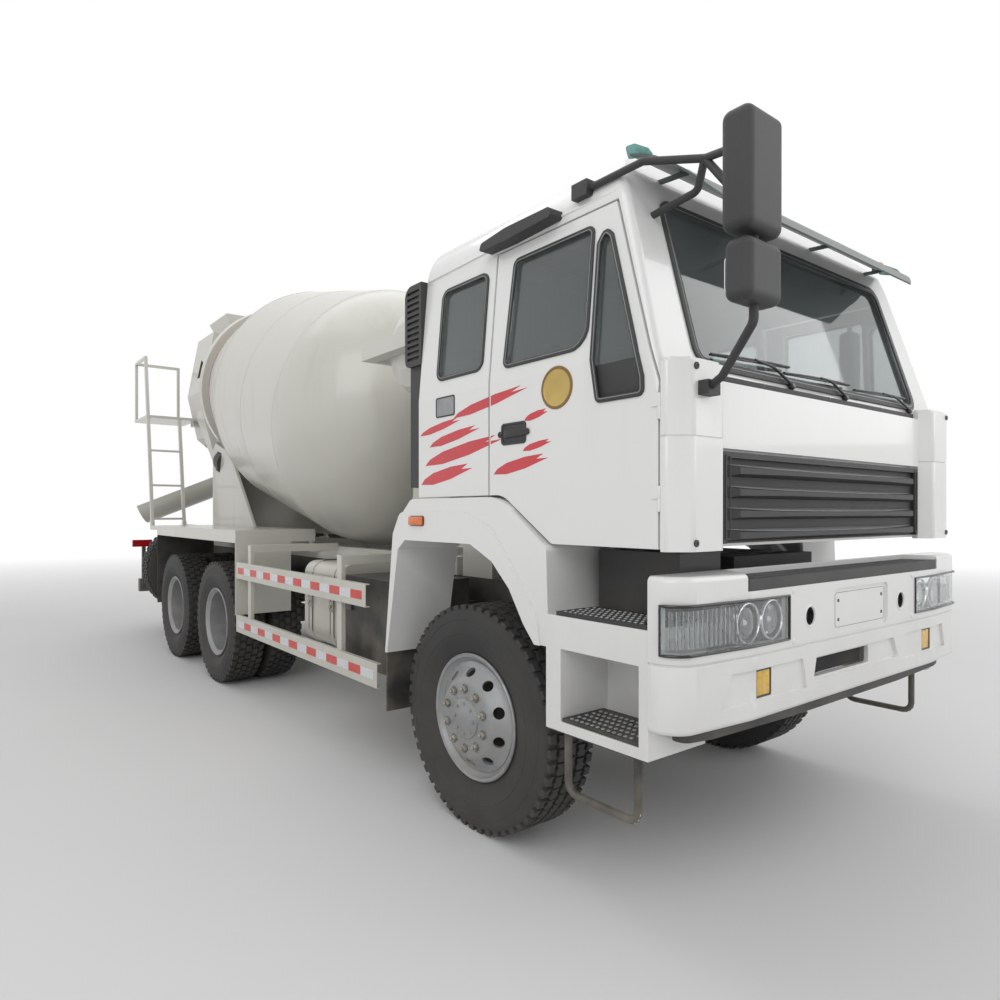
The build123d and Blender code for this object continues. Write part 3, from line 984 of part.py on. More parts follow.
# ------------------------------------------------------------------ chute
YOKE_Y = CHUTE_R + 30
YOKE_Z = 1640.0
EAR_R = 18.0
sleeve = rod((0, 0, MEMBER_TOP + SEAT), (0, 0, YOKE_Z + 10), POST_R + 30)
sleeve -= rod((0, 0, MEMBER_TOP - 10), (0, 0, POST_TOP + SEAT), POST_R + 0.06)
yoke = [sleeve, block(-45, 45, -YOKE_Y - 24, YOKE_Y + 24, YOKE_Z, YOKE_Z + 40)]
for _, side in SIDES:
    yoke.append(block(-45, 45, side * YOKE_Y, side * (YOKE_Y + 24), YOKE_Z, CHUTE_PIVOT_Z + 40))
    yoke.append(rod((0, side * (YOKE_Y + 32), CHUTE_PIVOT_Z), (0, side * (YOKE_Y - 20), CHUTE_PIVOT_Z),
                    EAR_R))
save("chute_yoke", Pos(CHUTE_X, 0, 0) * Rot(0, 0, CHUTE_STOW) * join(*yoke))

trough = rod((120, 0, 0), (-CHUTE_LEN, 0, 0), CHUTE_R) - block(-CHUTE_LEN - 10, 130, -CHUTE_R - 10,
        CHUTE_R + 10,
                                                                0, CHUTE_R + 10)
for _, side in SIDES:
    trough += block(-CHUTE_LEN, 120, side * (CHUTE_R - SHEET), side * (CHUTE_R + 6), -2, 12)
    ear = block(-40, 40, side * (CHUTE_R - SHEET), side * (YOKE_Y - 6), -40, 40)
    trough += ear - rod((0, side * (CHUTE_R - 40), 0), (0, side * (YOKE_Y + 40), 0), EAR_R + 0.06)
trough -= rod((130, 0, 0), (-CHUTE_LEN - 10, 0, 0), CHUTE_R - SHEET)
lay = Pos(CHUTE_X, 0, CHUTE_PIVOT_Z) * Rot(0, 0, CHUTE_STOW) * Rot(0, -CHUTE_DROP, 0)
save("chute_trough", lay * trough)

# ------------------------------------------------------------------ ladder and platform
LADDER_X, LADDER_Z = -5960.0, 1400.0
RAIL_Z = 3420.0            # top handrail
LADDER_LEAN = -330.0 / (RAIL_Z - LADDER_Z)
STILE_OUT, STILE_IN = -1215.0, -850.0
STILE_W = 36.0


def ladder_x(z):
    return LADDER_X + LADDER_LEAN * (z - LADDER_Z)


ladder = [bar((ladder_x(z0), y, z0), (ladder_x(z1), y, z1), STILE_W, (0, 1, 0))
          for y, z0, z1 in ((STILE_OUT, LADDER_Z, RAIL_Z), (STILE_IN, LADDER_Z, PLAT_Z + 20))]
for z in (1450, 1850, 2270):
    ladder.append(block(ladder_x(z) - 15, ladder_x(z) + 15, STILE_OUT, STILE_IN, z - 12, z + 12))
PLAT_X = -6800.0
ladder.append(block(PLAT_X, ladder_x(PLAT_Z) + 20, -1235, -630, PLAT_Z, PLAT_Z + 30))
for y in (STILE_OUT, -700):
    ladder.append(block(PLAT_X + 2, PLAT_X + 34, y - 16, y + 16, PLAT_Z + 10, RAIL_Z))
ladder.append(block(PLAT_X + 2, ladder_x(RAIL_Z) + 16, STILE_OUT - 16, STILE_OUT + 16, RAIL_Z - 20,
                    RAIL_Z + 12))
ladder.append(block(PLAT_X + 2, PLAT_X + 34, STILE_OUT - 16, -684, RAIL_Z - 20, RAIL_Z + 12))
for y in (STILE_OUT, STILE_IN):
    ladder.append(block(LADDER_X - 30, DECK_REAR - SEAT, y - 20, y + 20, 1320, 1370))
    ladder.append(block(LADDER_X - 30, LADDER_X + 30, y - 20, y + 20, 1360, LADDER_Z + 20))
save("ladder", join(*ladder))

# ------------------------------------------------------------ spare wheel, facing forward on its bracket
spare = Pos(SPARE_FACE_X - DISC_OUT, SPARE_Y, SPARE_Z)
save("spare_tyre", spare * Rot(0, 0, -90) * TYRE)
save("spare_rim", spare * Rot(0, 0, -90) * (rim(1, DISC_OUT, 60, 20, DISC_OUT) - rod((0, 0, 0), (0, 300, 0),
        40)))
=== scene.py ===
"""Concrete mixer truck: finishes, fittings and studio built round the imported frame.

Metres, +X forward, +Y to the truck's left, +Z up.  Every finished piece sits at
the origin with its place in its mesh, and rides on one of the frame's bodies.
"""
import json
import math
import bmesh
import bpy
from mathutils import Matrix, Vector


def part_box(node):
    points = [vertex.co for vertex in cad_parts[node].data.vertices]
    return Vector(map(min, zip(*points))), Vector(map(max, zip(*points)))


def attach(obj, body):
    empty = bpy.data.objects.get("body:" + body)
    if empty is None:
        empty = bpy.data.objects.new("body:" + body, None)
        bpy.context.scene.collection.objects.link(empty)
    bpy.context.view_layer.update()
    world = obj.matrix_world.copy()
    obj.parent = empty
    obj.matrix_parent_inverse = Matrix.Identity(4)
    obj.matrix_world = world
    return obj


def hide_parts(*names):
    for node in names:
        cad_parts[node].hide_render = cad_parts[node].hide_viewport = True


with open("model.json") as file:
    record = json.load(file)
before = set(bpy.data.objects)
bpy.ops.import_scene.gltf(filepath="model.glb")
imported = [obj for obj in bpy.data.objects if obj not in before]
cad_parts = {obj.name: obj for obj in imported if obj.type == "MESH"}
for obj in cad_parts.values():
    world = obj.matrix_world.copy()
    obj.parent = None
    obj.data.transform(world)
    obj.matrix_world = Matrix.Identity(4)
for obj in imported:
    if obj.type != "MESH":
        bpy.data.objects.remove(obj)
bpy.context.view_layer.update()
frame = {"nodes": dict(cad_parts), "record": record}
SIDES = (("right", -1.0), ("left", 1.0))


# ------------------------------------------------------------------ node groups
def group_start(name, inputs, outputs):
    """Empty shader group; inputs are (name, kind, default), outputs (name, kind)."""
    tree = bpy.data.node_groups.new(name, "ShaderNodeTree")
    for label, kind, default in inputs:
        socket = tree.interface.new_socket(name=label, in_out="INPUT", socket_type="NodeSocket" + kind)
        socket.default_value = default
    for label, kind in outputs:
        tree.interface.new_socket(name=label, in_out="OUTPUT", socket_type="NodeSocket" + kind)
    source = tree.nodes.new("NodeGroupInput")
    sink = tree.nodes.new("NodeGroupOutput")
    return tree, source, sink


def add(tree, kind, **values):
    """New node; a key that starts with in_ sets the input of that number."""
    node = tree.nodes.new("ShaderNode" + kind)
    for key, value in values.items():
        if key.startswith("in_"):
            node.inputs[int(key[3:])].default_value = value
        else:
            setattr(node, key, value)
    return node


def object_noise(tree, scale, detail=3.0, stretch=(1, 1, 1)):
    """Noise on Object coordinates, drawn out by stretch."""
    place = add(tree, "TexCoord")
    turn = add(tree, "Mapping")
    turn.inputs["Scale"].default_value = stretch
    noise = add(tree, "TexNoise")
    noise.inputs["Detail"].default_value = detail
    tree.links.new(place.outputs["Object"], turn.inputs["Vector"])
    tree.links.new(turn.outputs["Vector"], noise.inputs["Vector"])
    if isinstance(scale, bpy.types.NodeSocket):
        tree.links.new(scale, noise.inputs["Scale"])
    else:
        noise.inputs["Scale"].default_value = scale
    return noise.outputs["Fac"]


def remap(tree, value, low, high, out_low=0.0, out_high=1.0):
    node = add(tree, "MapRange", in_1=low, in_2=high, in_3=out_low, in_4=out_high)
    tree.links.new(value, node.inputs[0])
    return node.outputs[0]


def maths(tree, kind, a, b):
    node = add(tree, "Math", operation=kind)
    for socket, value in zip(node.inputs, (a, b)):
        if isinstance(value, bpy.types.NodeSocket):
            tree.links.new(value, socket)
        else:
            socket.default_value = value
    return node.outputs[0]


def make_road_dust():
    """Mask of dust thrown up from the road: strong at Low, gone at High, broken by noise."""
    tree, source, sink = group_start("road_dust", (("Low", "Float", 0.2), ("High", "Float", 1.4),
                                                   ("Amount", "Float", 0.5), ("Scale", "Float", 3.0)),
                                     (("Mask", "Float"),))
    place = add(tree, "TexCoord")
    split = add(tree, "SeparateXYZ")
    tree.links.new(place.outputs["Object"], split.inputs[0])
    height = add(tree, "MapRange", in_3=1.0, in_4=0.0)
    tree.links.new(split.outputs["Z"], height.inputs[0])
    tree.links.new(source.outputs["Low"], height.inputs[1])
    tree.links.new(source.outputs["High"], height.inputs[2])
    cloud = remap(tree, object_noise(tree, source.outputs["Scale"], 6.0), 0.35, 0.7)
    mask = maths(tree, "MULTIPLY", height.outputs[0], cloud)
    mask = maths(tree, "MULTIPLY", mask, source.outputs["Amount"])
    tree.links.new(mask, sink.inputs["Mask"])
    return tree


def make_rain_streaks():
    """Mask of upright runs of grime."""
    tree, source, sink = group_start("rain_streaks", (("Amount", "Float", 0.3), ("Scale", "Float", 9.0)),
                                     (("Mask", "Float"),))
    runs = remap(tree, object_noise(tree, source.outputs["Scale"], 5.0, (1.0, 1.0, 0.06)), 0.52, 0.78)
    patch = remap(tree, object_noise(tree, 0.9, 2.0), 0.4, 0.65)
    mask = maths(tree, "MULTIPLY", maths(tree, "MULTIPLY", runs, patch), source.outputs["Amount"])
    tree.links.new(mask, sink.inputs["Mask"])
    return tree


def make_paint_skin():
    """Height of sprayed paint: fine peel over long soft waves of the sheet below."""
    tree, source, sink = group_start("paint_skin", (("Peel", "Float", 0.25), ("Wave", "Float", 1.0),
                                                    ("Scale", "Float", 240.0)), (("Height", "Float"),))
    peel = maths(tree, "MULTIPLY", object_noise(tree, source.outputs["Scale"], 2.0), source.outputs["Peel"])
    wave = maths(tree, "MULTIPLY", object_noise(tree, 1.7, 1.0), source.outputs["Wave"])
    tree.links.new(maths(tree, "ADD", peel, wave), sink.inputs["Height"])
    return tree


def make_grain():
    """Height of moulded plastic or rubber grain."""
    tree, source, sink = group_start("moulded_grain", (("Scale", "Float", 600.0),), (("Height", "Float"),))
    place = add(tree, "TexCoord")
    cells = add(tree, "TexVoronoi", feature="DISTANCE_TO_EDGE")
    tree.links.new(place.outputs["Object"], cells.inputs["Vector"])
    tree.links.new(source.outputs["Scale"], cells.inputs["Scale"])
    tree.links.new(remap(tree, cells.outputs["Distance"], 0.0, 0.25), sink.inputs["Height"])
    return tree


def make_weave():
    """Height and shade of a plain weave on Object coordinates."""
    tree, source, sink = group_start("plain_weave", (("Threads", "Float", 420.0),),
                                     (("Height", "Float"), ("Shade", "Float")))
    place = add(tree, "TexCoord")
    heights = []
    for axis in ("X", "Y", "Z"):
        wave = add(tree, "TexWave", bands_direction=axis)
        wave.inputs["Distortion"].default_value = 0.6
        tree.links.new(place.outputs["Object"], wave.inputs["Vector"])
        tree.links.new(source.outputs["Threads"], wave.inputs["Scale"])
        heights.append(wave.outputs["Fac"])
    weave = maths(tree, "MAXIMUM", maths(tree, "MULTIPLY", heights[0], heights[1]),
                  maths(tree, "MULTIPLY", heights[1], heights[2]))
    tree.links.new(weave, sink.inputs["Height"])
    tree.links.new(remap(tree, weave, 0.0, 1.0, 0.75, 1.0), sink.inputs["Shade"])
    return tree


def make_edge_wear():
    """Mask of rubbed corners, from how sharply the surface turns."""
    tree, source, sink = group_start("edge_wear", (("Amount", "Float", 0.5),), (("Mask", "Float"),))
    shape = add(tree, "NewGeometry")
    edge = remap(tree, shape.outputs["Pointiness"], 0.52, 0.60)
    patch = remap(tree, object_noise(tree, 30.0, 4.0), 0.45, 0.65)
    mask = maths(tree, "MULTIPLY", maths(tree, "MULTIPLY", edge, patch), source.outputs["Amount"])
    tree.links.new(mask, sink.inputs["Mask"])
    return tree


ROAD_DUST, RAIN_STREAKS, PAINT_SKIN = make_road_dust(), make_rain_streaks(), make_paint_skin()
GRAIN, WEAVE, EDGE_WEAR = make_grain(), make_weave(), make_edge_wear()
DUST = (0.42, 0.37, 0.30, 1.0)


# ------------------------------------------------------------------ finishes
class Finish:
    """One material: a colour that masks are laid over, and a bump height."""

    def __init__(self, name, colour, rough, metal=0.0, coat=0.0, coat_rough=0.08):
        self.material = bpy.data.materials.new(name)
        self.material.use_nodes = True
        self.tree = self.material.node_tree
        self.shader = self.tree.nodes["Principled BSDF"]
        self.shader.inputs["Metallic"].default_value = metal
        self.shader.inputs["Coat Weight"].default_value = coat
        self.shader.inputs["Coat Roughness"].default_value = coat_rough
        base = add(self.tree, "RGB")
        base.outputs[0].default_value = (*colour, 1.0)
        self.colour = base.outputs[0]
        self.rough = rough
        self.height = None

    def effect(self, tree, **values):
        node = add(self.tree, "Group")
        node.node_tree = tree
        for label, value in values.items():
            node.inputs[label.replace("_", " ")].default_value = value
        return node

    def mottle(self, colour, scale, low=0.35, high=0.7, stretch=(1, 1, 1), detail=4.0):
        """Second colour in soft patches."""
        mask = remap(self.tree, object_noise(self.tree, scale, detail, stretch), low, high)
        return self.over(mask, colour)

    def over(self, mask, colour):
        mix = add(self.tree, "Mix", data_type="RGBA")
        self.tree.links.new(mask, mix.inputs[0])
        self.tree.links.new(self.colour, mix.inputs[6])
        mix.inputs[7].default_value = (*colour[:3], 1.0)
        self.colour = mix.outputs[2]
        return self

    def roughen(self, mask, amount):
        """Adds to the roughness where the mask is."""
        extra = maths(self.tree, "MULTIPLY", mask, amount)
        self.rough = maths(self.tree, "ADD", extra, self.rough)
        return self

    def dust(self, amount, low=0.1, high=1.5, scale=3.0):
        mask = self.effect(ROAD_DUST, Low=low, High=high, Amount=amount, Scale=scale).outputs[0]
        self.over(mask, DUST)
        return self.roughen(mask, 0.5)

    def streaks(self, amount, colour=(0.30, 0.27, 0.22), scale=9.0):
        mask = self.effect(RAIN_STREAKS, Amount=amount, Scale=scale).outputs[0]
        self.over(mask, colour)
        return self.roughen(mask, 0.3)

    def worn(self, amount, colour):
        mask = self.effect(EDGE_WEAR, Amount=amount).outputs[0]
        return self.over(mask, colour)

    def bump(self, height, distance, strength=1.0):
        node = add(self.tree, "Bump")
        node.inputs["Strength"].default_value = strength
        node.inputs["Distance"].default_value = distance
        self.tree.links.new(height, node.inputs["Height"])
        if self.height is not None:
            self.tree.links.new(self.height, node.inputs["Normal"])
        self.height = node.outputs["Normal"]
        return self

    def skin(self, peel, wave, distance=0.0004):
        return self.bump(self.effect(PAINT_SKIN, Peel=peel, Wave=wave).outputs[0], distance)

    def grained(self, scale, distance):
        return self.bump(self.effect(GRAIN, Scale=scale).outputs[0], distance)

    def done(self):
        links = self.tree.links
        links.new(self.colour, self.shader.inputs["Base Color"])
        if isinstance(self.rough, bpy.types.NodeSocket):
            links.new(self.rough, self.shader.inputs["Roughness"])
        else:
            self.shader.inputs["Roughness"].default_value = self.rough
        if self.height is not None:
            links.new(self.height, self.shader.inputs["Normal"])
        return self.material


def cab_paint():
    paint = Finish("cab_paint", (0.80, 0.80, 0.79), 0.28, coat=0.6, coat_rough=0.06)
    paint.mottle((0.76, 0.76, 0.75), 0.8)
    paint.streaks(0.10)
    paint.dust(0.30, 0.3, 1.3, 4.0)
    return paint.skin(0.12, 1.0).done()


def mixer_paint():
    paint = Finish("mixer_paint", (0.62, 0.61, 0.56), 0.34, coat=0.45, coat_rough=0.12)
    paint.mottle((0.57, 0.56, 0.50), 0.6)
    paint.streaks(0.22)
    paint.dust(0.35, 0.3, 1.6, 2.5)
    return paint.skin(0.2, 2.0).done()


def chassis_paint():
    paint = Finish("chassis_paint", (0.035, 0.036, 0.038), 0.5)
    paint.mottle((0.055, 0.052, 0.048), 5.0)
    paint.dust(0.6, 0.2, 1.3, 6.0)
    return paint.skin(0.6, 0.5).done()


def wheel_paint():
    paint = Finish("wheel_paint", (0.34, 0.35, 0.36), 0.42, metal=0.35)
    paint.mottle((0.28, 0.285, 0.29), 7.0)
    paint.worn(0.5, (0.18, 0.17, 0.16))
    paint.dust(0.45, 0.1, 1.0, 9.0)
    return paint.skin(0.5, 0.2).done()


def tyre_rubber():
    rubber = Finish("tyre_rubber", (0.030, 0.030, 0.030), 0.68)
    rubber.mottle((0.037, 0.036, 0.035), 2.5)
    rubber.worn(0.35, (0.065, 0.062, 0.058))
    rubber.dust(0.10, 0.0, 1.5, 3.0)
    return rubber.grained(500.0, 0.0003).done()


def flap_rubber():
    rubber = Finish("flap_rubber", (0.028, 0.028, 0.028), 0.65)
    rubber.mottle((0.045, 0.043, 0.040), 4.0)
    rubber.dust(0.5, 0.3, 1.3, 5.0)
    return rubber.grained(350.0, 0.0004).done()


def black_plastic():
    plastic = Finish("black_plastic", (0.030, 0.031, 0.032), 0.5)
    plastic.mottle((0.04, 0.04, 0.04), 3.0)
    plastic.dust(0.25, 0.3, 1.6, 5.0)
    return plastic.grained(700.0, 0.00025).done()


def smoked_plastic():
    plastic = Finish("smoked_plastic", (0.075, 0.095, 0.092), 0.34)
    plastic.mottle((0.095, 0.115, 0.110), 2.0)
    return plastic.skin(0.05, 0.6).done()


def window_glass():
    glass = Finish("window_glass", (0.52, 0.56, 0.56), 0.02)
    glass.shader.inputs["Transmission Weight"].default_value = 0.92
    glass.shader.inputs["IOR"].default_value = 1.45
    mask = remap(glass.tree, object_noise(glass.tree, 3.0, 5.0), 0.5, 0.9, 0.0, 0.08)
    glass.roughen(mask, 1.0)
    return glass.done()


def lamp_glass():
    glass = Finish("lamp_glass", (0.93, 0.95, 0.96), 0.03)
    glass.shader.inputs["Transmission Weight"].default_value = 0.95
    glass.shader.inputs["IOR"].default_value = 1.42
    mask = remap(glass.tree, object_noise(glass.tree, 20.0, 3.0), 0.5, 0.9, 0.0, 0.05)
    glass.roughen(mask, 1.0)
    return glass.done()


def lamp_plastic(name, colour, deep):
    """Coloured lamp lens with small moulded prisms."""
    lens = Finish(name, colour, 0.14, coat=0.6)
    lens.mottle(deep, 40.0)
    cells = add(lens.tree, "TexVoronoi")
    place = add(lens.tree, "TexCoord")
    cells.inputs["Scale"].default_value = 110.0
    lens.tree.links.new(place.outputs["Object"], cells.inputs["Vector"])
    return lens.bump(cells.outputs["Distance"], 0.0008).done()


def bright_metal():
    metal = Finish("bright_metal", (0.82, 0.83, 0.84), 0.10, metal=1.0)
    metal.mottle((0.70, 0.71, 0.72), 12.0)
    metal.dust(0.15, 0.3, 1.6, 20.0)
    return metal.skin(0.1, 0.1).done()


def silvered():
    """Mirror glass with a faint haze of dust."""
    glass = Finish("mirror_silver", (0.86, 0.87, 0.88), 0.015, metal=1.0)
    mask = remap(glass.tree, object_noise(glass.tree, 6.0, 5.0), 0.5, 0.9, 0.0, 0.10)
    return glass.roughen(mask, 1.0).done()


def bare_steel():
    metal = Finish("bare_steel", (0.42, 0.41, 0.39), 0.45, metal=0.85)
    metal.mottle((0.30, 0.28, 0.25), 14.0)
    metal.dust(0.55, 0.2, 1.8, 10.0)
    return metal.skin(0.7, 0.3).done()


def plain(name, colour, rough, metal=0.0):
    """Small fittings: one colour, a little uneven and dusty low down."""
    finish = Finish(name, colour, rough, metal=metal)
    finish.mottle(tuple(0.82 * c for c in colour), 9.0)
    finish.dust(0.12, 0.3, 1.3, 8.0)
    return finish.skin(0.2, 0.3).done()


def seat_cloth():
    cloth = Finish("seat_cloth", (0.70, 0.69, 0.66), 0.9)
    cloth.mottle((0.62, 0.61, 0.58), 8.0)
    weave = cloth.effect(WEAVE, Threads=160.0)
    cloth.bump(weave.outputs["Height"], 0.0006)
    cloth.shader.inputs["Sheen Weight"].default_value = 0.3
    return cloth.done()


def streak_red():
    paint = Finish("streak_red", (0.62, 0.025, 0.04), 0.3, coat=0.5)
    paint.mottle((0.55, 0.02, 0.03), 5.0)
    return paint.skin(0.1, 0.3).done()


def reflector(name, colour, deep):
    """Reflective tape: tiny cells under a clear face."""
    tape = Finish(name, colour, 0.35, coat=0.4)
    tape.mottle(deep, 60.0)
    tape.dust(0.2, 0.3, 1.3, 8.0)
    return tape.grained(900.0, 0.0003).done()


FINISHES = {
    "tyre_rubber": tyre_rubber(), "wheel_silver": wheel_paint(), "chassis_black": chassis_paint(),
    "mixer_cream": mixer_paint(), "cab_white": cab_paint(), "window_glass": window_glass(),
    "dark_plastic": black_plastic(), "smoked_plastic": smoked_plastic(), "lamp_clear": lamp_glass(),
    "lamp_red": lamp_plastic("lamp_red", (0.45, 0.01, 0.012), (0.30, 0.005, 0.008)),
    "flap_rubber": flap_rubber(), "seat_fabric": seat_cloth(),
}
# Pale grey of the window seals' lines; the same colour is also laid as painted shade in the plate groove on
# the bumper.
SEAL_LINE_AND_GROOVE_SHADE = plain("seal_line", (0.30, 0.31, 0.31), 0.5)
BLACK_GLOSS = plain("black_gloss", (0.020, 0.020, 0.021), 0.24)
PAINTED_SHADE_BLACK = plain("painted_shade_black", (0.010, 0.010, 0.010), 0.8)
# Painted shade: near-black colour laid where holes and recesses fall into shade.
GOLD = plain("gold_disc", (0.56, 0.40, 0.13), 0.36, metal=0.55)
GOLD_DARK = plain("gold_rim", (0.24, 0.15, 0.05), 0.34, metal=0.55)
# Painted highlight: grey laid on the grille slats' upper faces, where light falls on the black bars.
SLAT_HIGHLIGHT = plain("slat_painted_highlight", (0.34, 0.35, 0.36), 0.32, metal=0.2)
PAD_GREY = plain("pad_grey", (0.14, 0.14, 0.145), 0.62)
STEEL_GREY = plain("tread_grey", (0.40, 0.40, 0.40), 0.45, metal=0.3)
VISOR_GREEN = lamp_plastic("visor_green", (0.10, 0.34, 0.31), (0.05, 0.20, 0.18))
WHITE_PLASTIC = plain("white_plastic", (0.70, 0.70, 0.68), 0.4)
DARK_RED = plain("dark_red", (0.30, 0.035, 0.025), 0.5)
AMBER = lamp_plastic("lamp_amber", (0.86, 0.20, 0.01), (0.66, 0.12, 0.005))
FOG_YELLOW = lamp_plastic("lamp_yellow", (0.80, 0.50, 0.02), (0.62, 0.34, 0.01))
CHROME, STEEL, STREAK = bright_metal(), bare_steel(), streak_red()
MIRROR = silvered()
TAPE_RED = reflector("tape_red", (0.72, 0.05, 0.03), (0.60, 0.03, 0.02))
TAPE_WHITE = reflector("tape_white", (0.78, 0.80, 0.83), (0.66, 0.68, 0.72))


def dress_frame():
    """Each node of the frame takes the finish of its slot."""
    for part in frame["record"]["subparts"]:
        node = frame["nodes"][part["node"]]
        node.data.materials.clear()
        node.data.materials.append(FINISHES[part["material_slot"]])


dress_frame()

# ------------------------------------------------------------------ modelling
AHEAD = 2.937              # front axle, ahead of the origin
AXIS_X, AXIS_Y, AXIS_Z = Vector((1, 0, 0)), Vector((0, 1, 0)), Vector((0, 0, 1))


def at(x, y, z):
    """Place counted from the front axle."""
    return Vector((x + AHEAD, y, z))


def let_go():
    """Back to object mode with nothing picked."""
    if bpy.context.object and bpy.context.object.mode != "OBJECT":
        bpy.ops.object.mode_set(mode="OBJECT")
    bpy.ops.object.select_all(action="DESELECT")


def pick(*objects):
    let_go()
    for obj in objects:
        obj.select_set(True)
    bpy.context.view_layer.objects.active = objects[0]


def edit(obj):
    """Edit mode with the whole mesh picked."""
    pick(obj)
    bpy.ops.object.mode_set(mode="EDIT")
    bpy.ops.mesh.select_mode(type="VERT")
    bpy.ops.mesh.select_all(action="SELECT")


def pick_parts(obj, kind, test):
    """In edit mode, picks the faces, edges or verts for which the test holds."""
    bpy.ops.mesh.select_mode(type={"faces": "FACE", "edges": "EDGE", "verts": "VERT"}[kind])
    bpy.ops.mesh.select_all(action="DESELECT")
    shape = bmesh.from_edit_mesh(obj.data)
    for item in getattr(shape, kind):
        if test(item):
            item.select_set(True)
    bmesh.update_edit_mesh(obj.data)


def outward():
    """Points all faces of the edited mesh outwards."""
    bpy.ops.mesh.select_all(action="SELECT")
    bpy.ops.mesh.remove_doubles(threshold=1e-5)
    bpy.ops.mesh.normals_make_consistent(inside=False)


def draw(name, points, closed=True):
    """A point drawn out from place to place; closed makes a face of it. Stays in edit mode."""
    let_go()
    bpy.ops.mesh.primitive_plane_add(size=0.01, location=points[0])
    obj = bpy.context.object
    obj.name = name
    bpy.ops.object.transform_apply(location=True, rotation=True, scale=True)
    bpy.ops.object.mode_set(mode="EDIT")
    bpy.ops.mesh.select_mode(type="VERT")
    bpy.ops.mesh.select_all(action="SELECT")
    bpy.ops.mesh.merge(type="CENTER")
    for a, b in zip(points, points[1:]):
        bpy.ops.mesh.extrude_vertices_move(TRANSFORM_OT_translate={"value": Vector(b) - Vector(a)})
    bpy.ops.mesh.select_all(action="SELECT")
    if closed:
        bpy.ops.mesh.edge_face_add()
    return obj


def slab(name, points, push, corner=0.0, soft=0.0, segments=2):
    """Outline drawn out by push; corner rounds the outline and soft the two rims."""
    obj = draw(name, points)
    if corner:
        bpy.ops.mesh.bevel(affect="VERTICES", offset=corner, segments=4)
        bpy.ops.mesh.select_all(action="SELECT")
    bpy.ops.mesh.extrude_region_move(TRANSFORM_OT_translate={"value": push})
    outward()
    if soft:
        line = Vector(push).normalized()
        pick_parts(obj, "faces", lambda face: abs(face.normal.dot(line)) > 0.99)
        bpy.ops.mesh.region_to_loop()
        bpy.ops.mesh.bevel(offset=soft, segments=segments, clamp_overlap=True)
    let_go()
    return obj


def brick(name, low, high, soft=0.004, segments=2):
    """Cube brought to two opposite corners, all its edges rounded."""
    let_go()
    middle = (Vector(low) + Vector(high)) / 2
    size = [abs(b - a) for a, b in zip(low, high)]
    bpy.ops.mesh.primitive_cube_add(size=1, location=middle, scale=size)
    obj = bpy.context.object
    obj.name = name
    bpy.ops.object.transform_apply(location=True, rotation=True, scale=True)
    edit(obj)
    bpy.ops.mesh.bevel(offset=soft, segments=segments, affect="EDGES", clamp_overlap=True)
    let_go()
    return obj


def lathe(name, profile, centre, axis=AXIS_Y, out=AXIS_Z, steps=64, ring=False):
    """(radius, along) profile spun round an axis; ring closes the profile on itself."""
    places = [centre + out * r + axis * along for r, along in profile]
    if ring:
        places.append(places[0])
    obj = draw(name, places, closed=False)
    if ring:
        bpy.ops.mesh.remove_doubles(threshold=1e-6)
    bpy.ops.mesh.spin(steps=steps, angle=math.tau, center=centre, axis=axis)
    outward()
    let_go()
    return obj


def tube(name, points, radius, bend=0.0, closed=False, round_steps=2):
    """Round bar along a path, its corners bent."""
    points = [Vector(p) for p in points]
    obj = draw(name, points + points[:1] if closed else points, closed=False)
    bpy.ops.mesh.remove_doubles(threshold=1e-6)
    if bend:
        bpy.ops.mesh.bevel(affect="VERTICES", offset=bend, segments=4)
    let_go()
    pick(obj)
    bpy.ops.object.convert(target="CURVE")
    obj = bpy.context.object
    obj.data.bevel_depth = radius
    obj.data.bevel_resolution = round_steps
    obj.data.use_fill_caps = not closed
    bpy.ops.object.convert(target="MESH")
    obj = bpy.context.object
    obj.name = name
    edit(obj)
    outward()
    let_go()
    return obj


def joined(name, pieces):
    pick(*pieces)
    if len(pieces) > 1:
        bpy.ops.object.join()
    obj = bpy.context.object
    obj.name = name
    return obj


def again(obj, name, move=(0, 0, 0)):
    """Copy of a piece with its own mesh, moved in its mesh."""
    pick(obj)
    bpy.ops.object.duplicate()
    twin = bpy.context.object
    twin.name = name
    edit(twin)
    bpy.ops.transform.translate(value=move)
    let_go()
    return twin


def mirrored(obj, name):
    """Copy on the other side of the truck."""
    pick(obj)
    bpy.ops.object.duplicate()
    twin = bpy.context.object
    twin.name = name
    edit(twin)
    bpy.ops.transform.resize(value=(1, -1, 1), center_override=(0, 0, 0))
    bpy.ops.mesh.flip_normals()
    let_go()
    return twin


def around(obj, count, centre, axis):
    """Repeats the mesh in a full circle."""
    edit(obj)
    turn = math.tau * (count - 1) / count
    bpy.ops.mesh.spin(steps=count - 1, dupli=True, angle=turn, center=centre, axis=axis)
    let_go()
    return obj


def cut(obj, cutter):
    """Takes one closed shape out of another."""
    pick(obj)
    tool = obj.modifiers.new("cut", "BOOLEAN")
    tool.operation, tool.object, tool.solver = "DIFFERENCE", cutter, "EXACT"
    bpy.ops.object.modifier_apply(modifier=tool.name)
    bpy.data.objects.remove(cutter)
    return obj


def fit(obj, body, slot, finish=None, smooth=35, stands_for=()):
    """Smooths, paints and hangs a finished piece on its body."""
    pick(obj)
    bpy.ops.object.shade_smooth_by_angle(angle=math.radians(smooth))
    obj.data.materials.clear()
    obj.data.materials.append(finish or FINISHES[slot])
    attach(obj, body)
    if stands_for:
        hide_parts(*stands_for)
    let_go()
    return obj


def both(make, name, body, slot, finish=None, **more):
    """Makes a piece for the right side, and its mirror image; body may hold {side}."""
    right = make(name + "_right")
    left = mirrored(right, name + "_left")
    fit(right, body.format(side="right"), slot, finish, **more)
    fit(left, body.format(side="left"), slot, finish, **more)


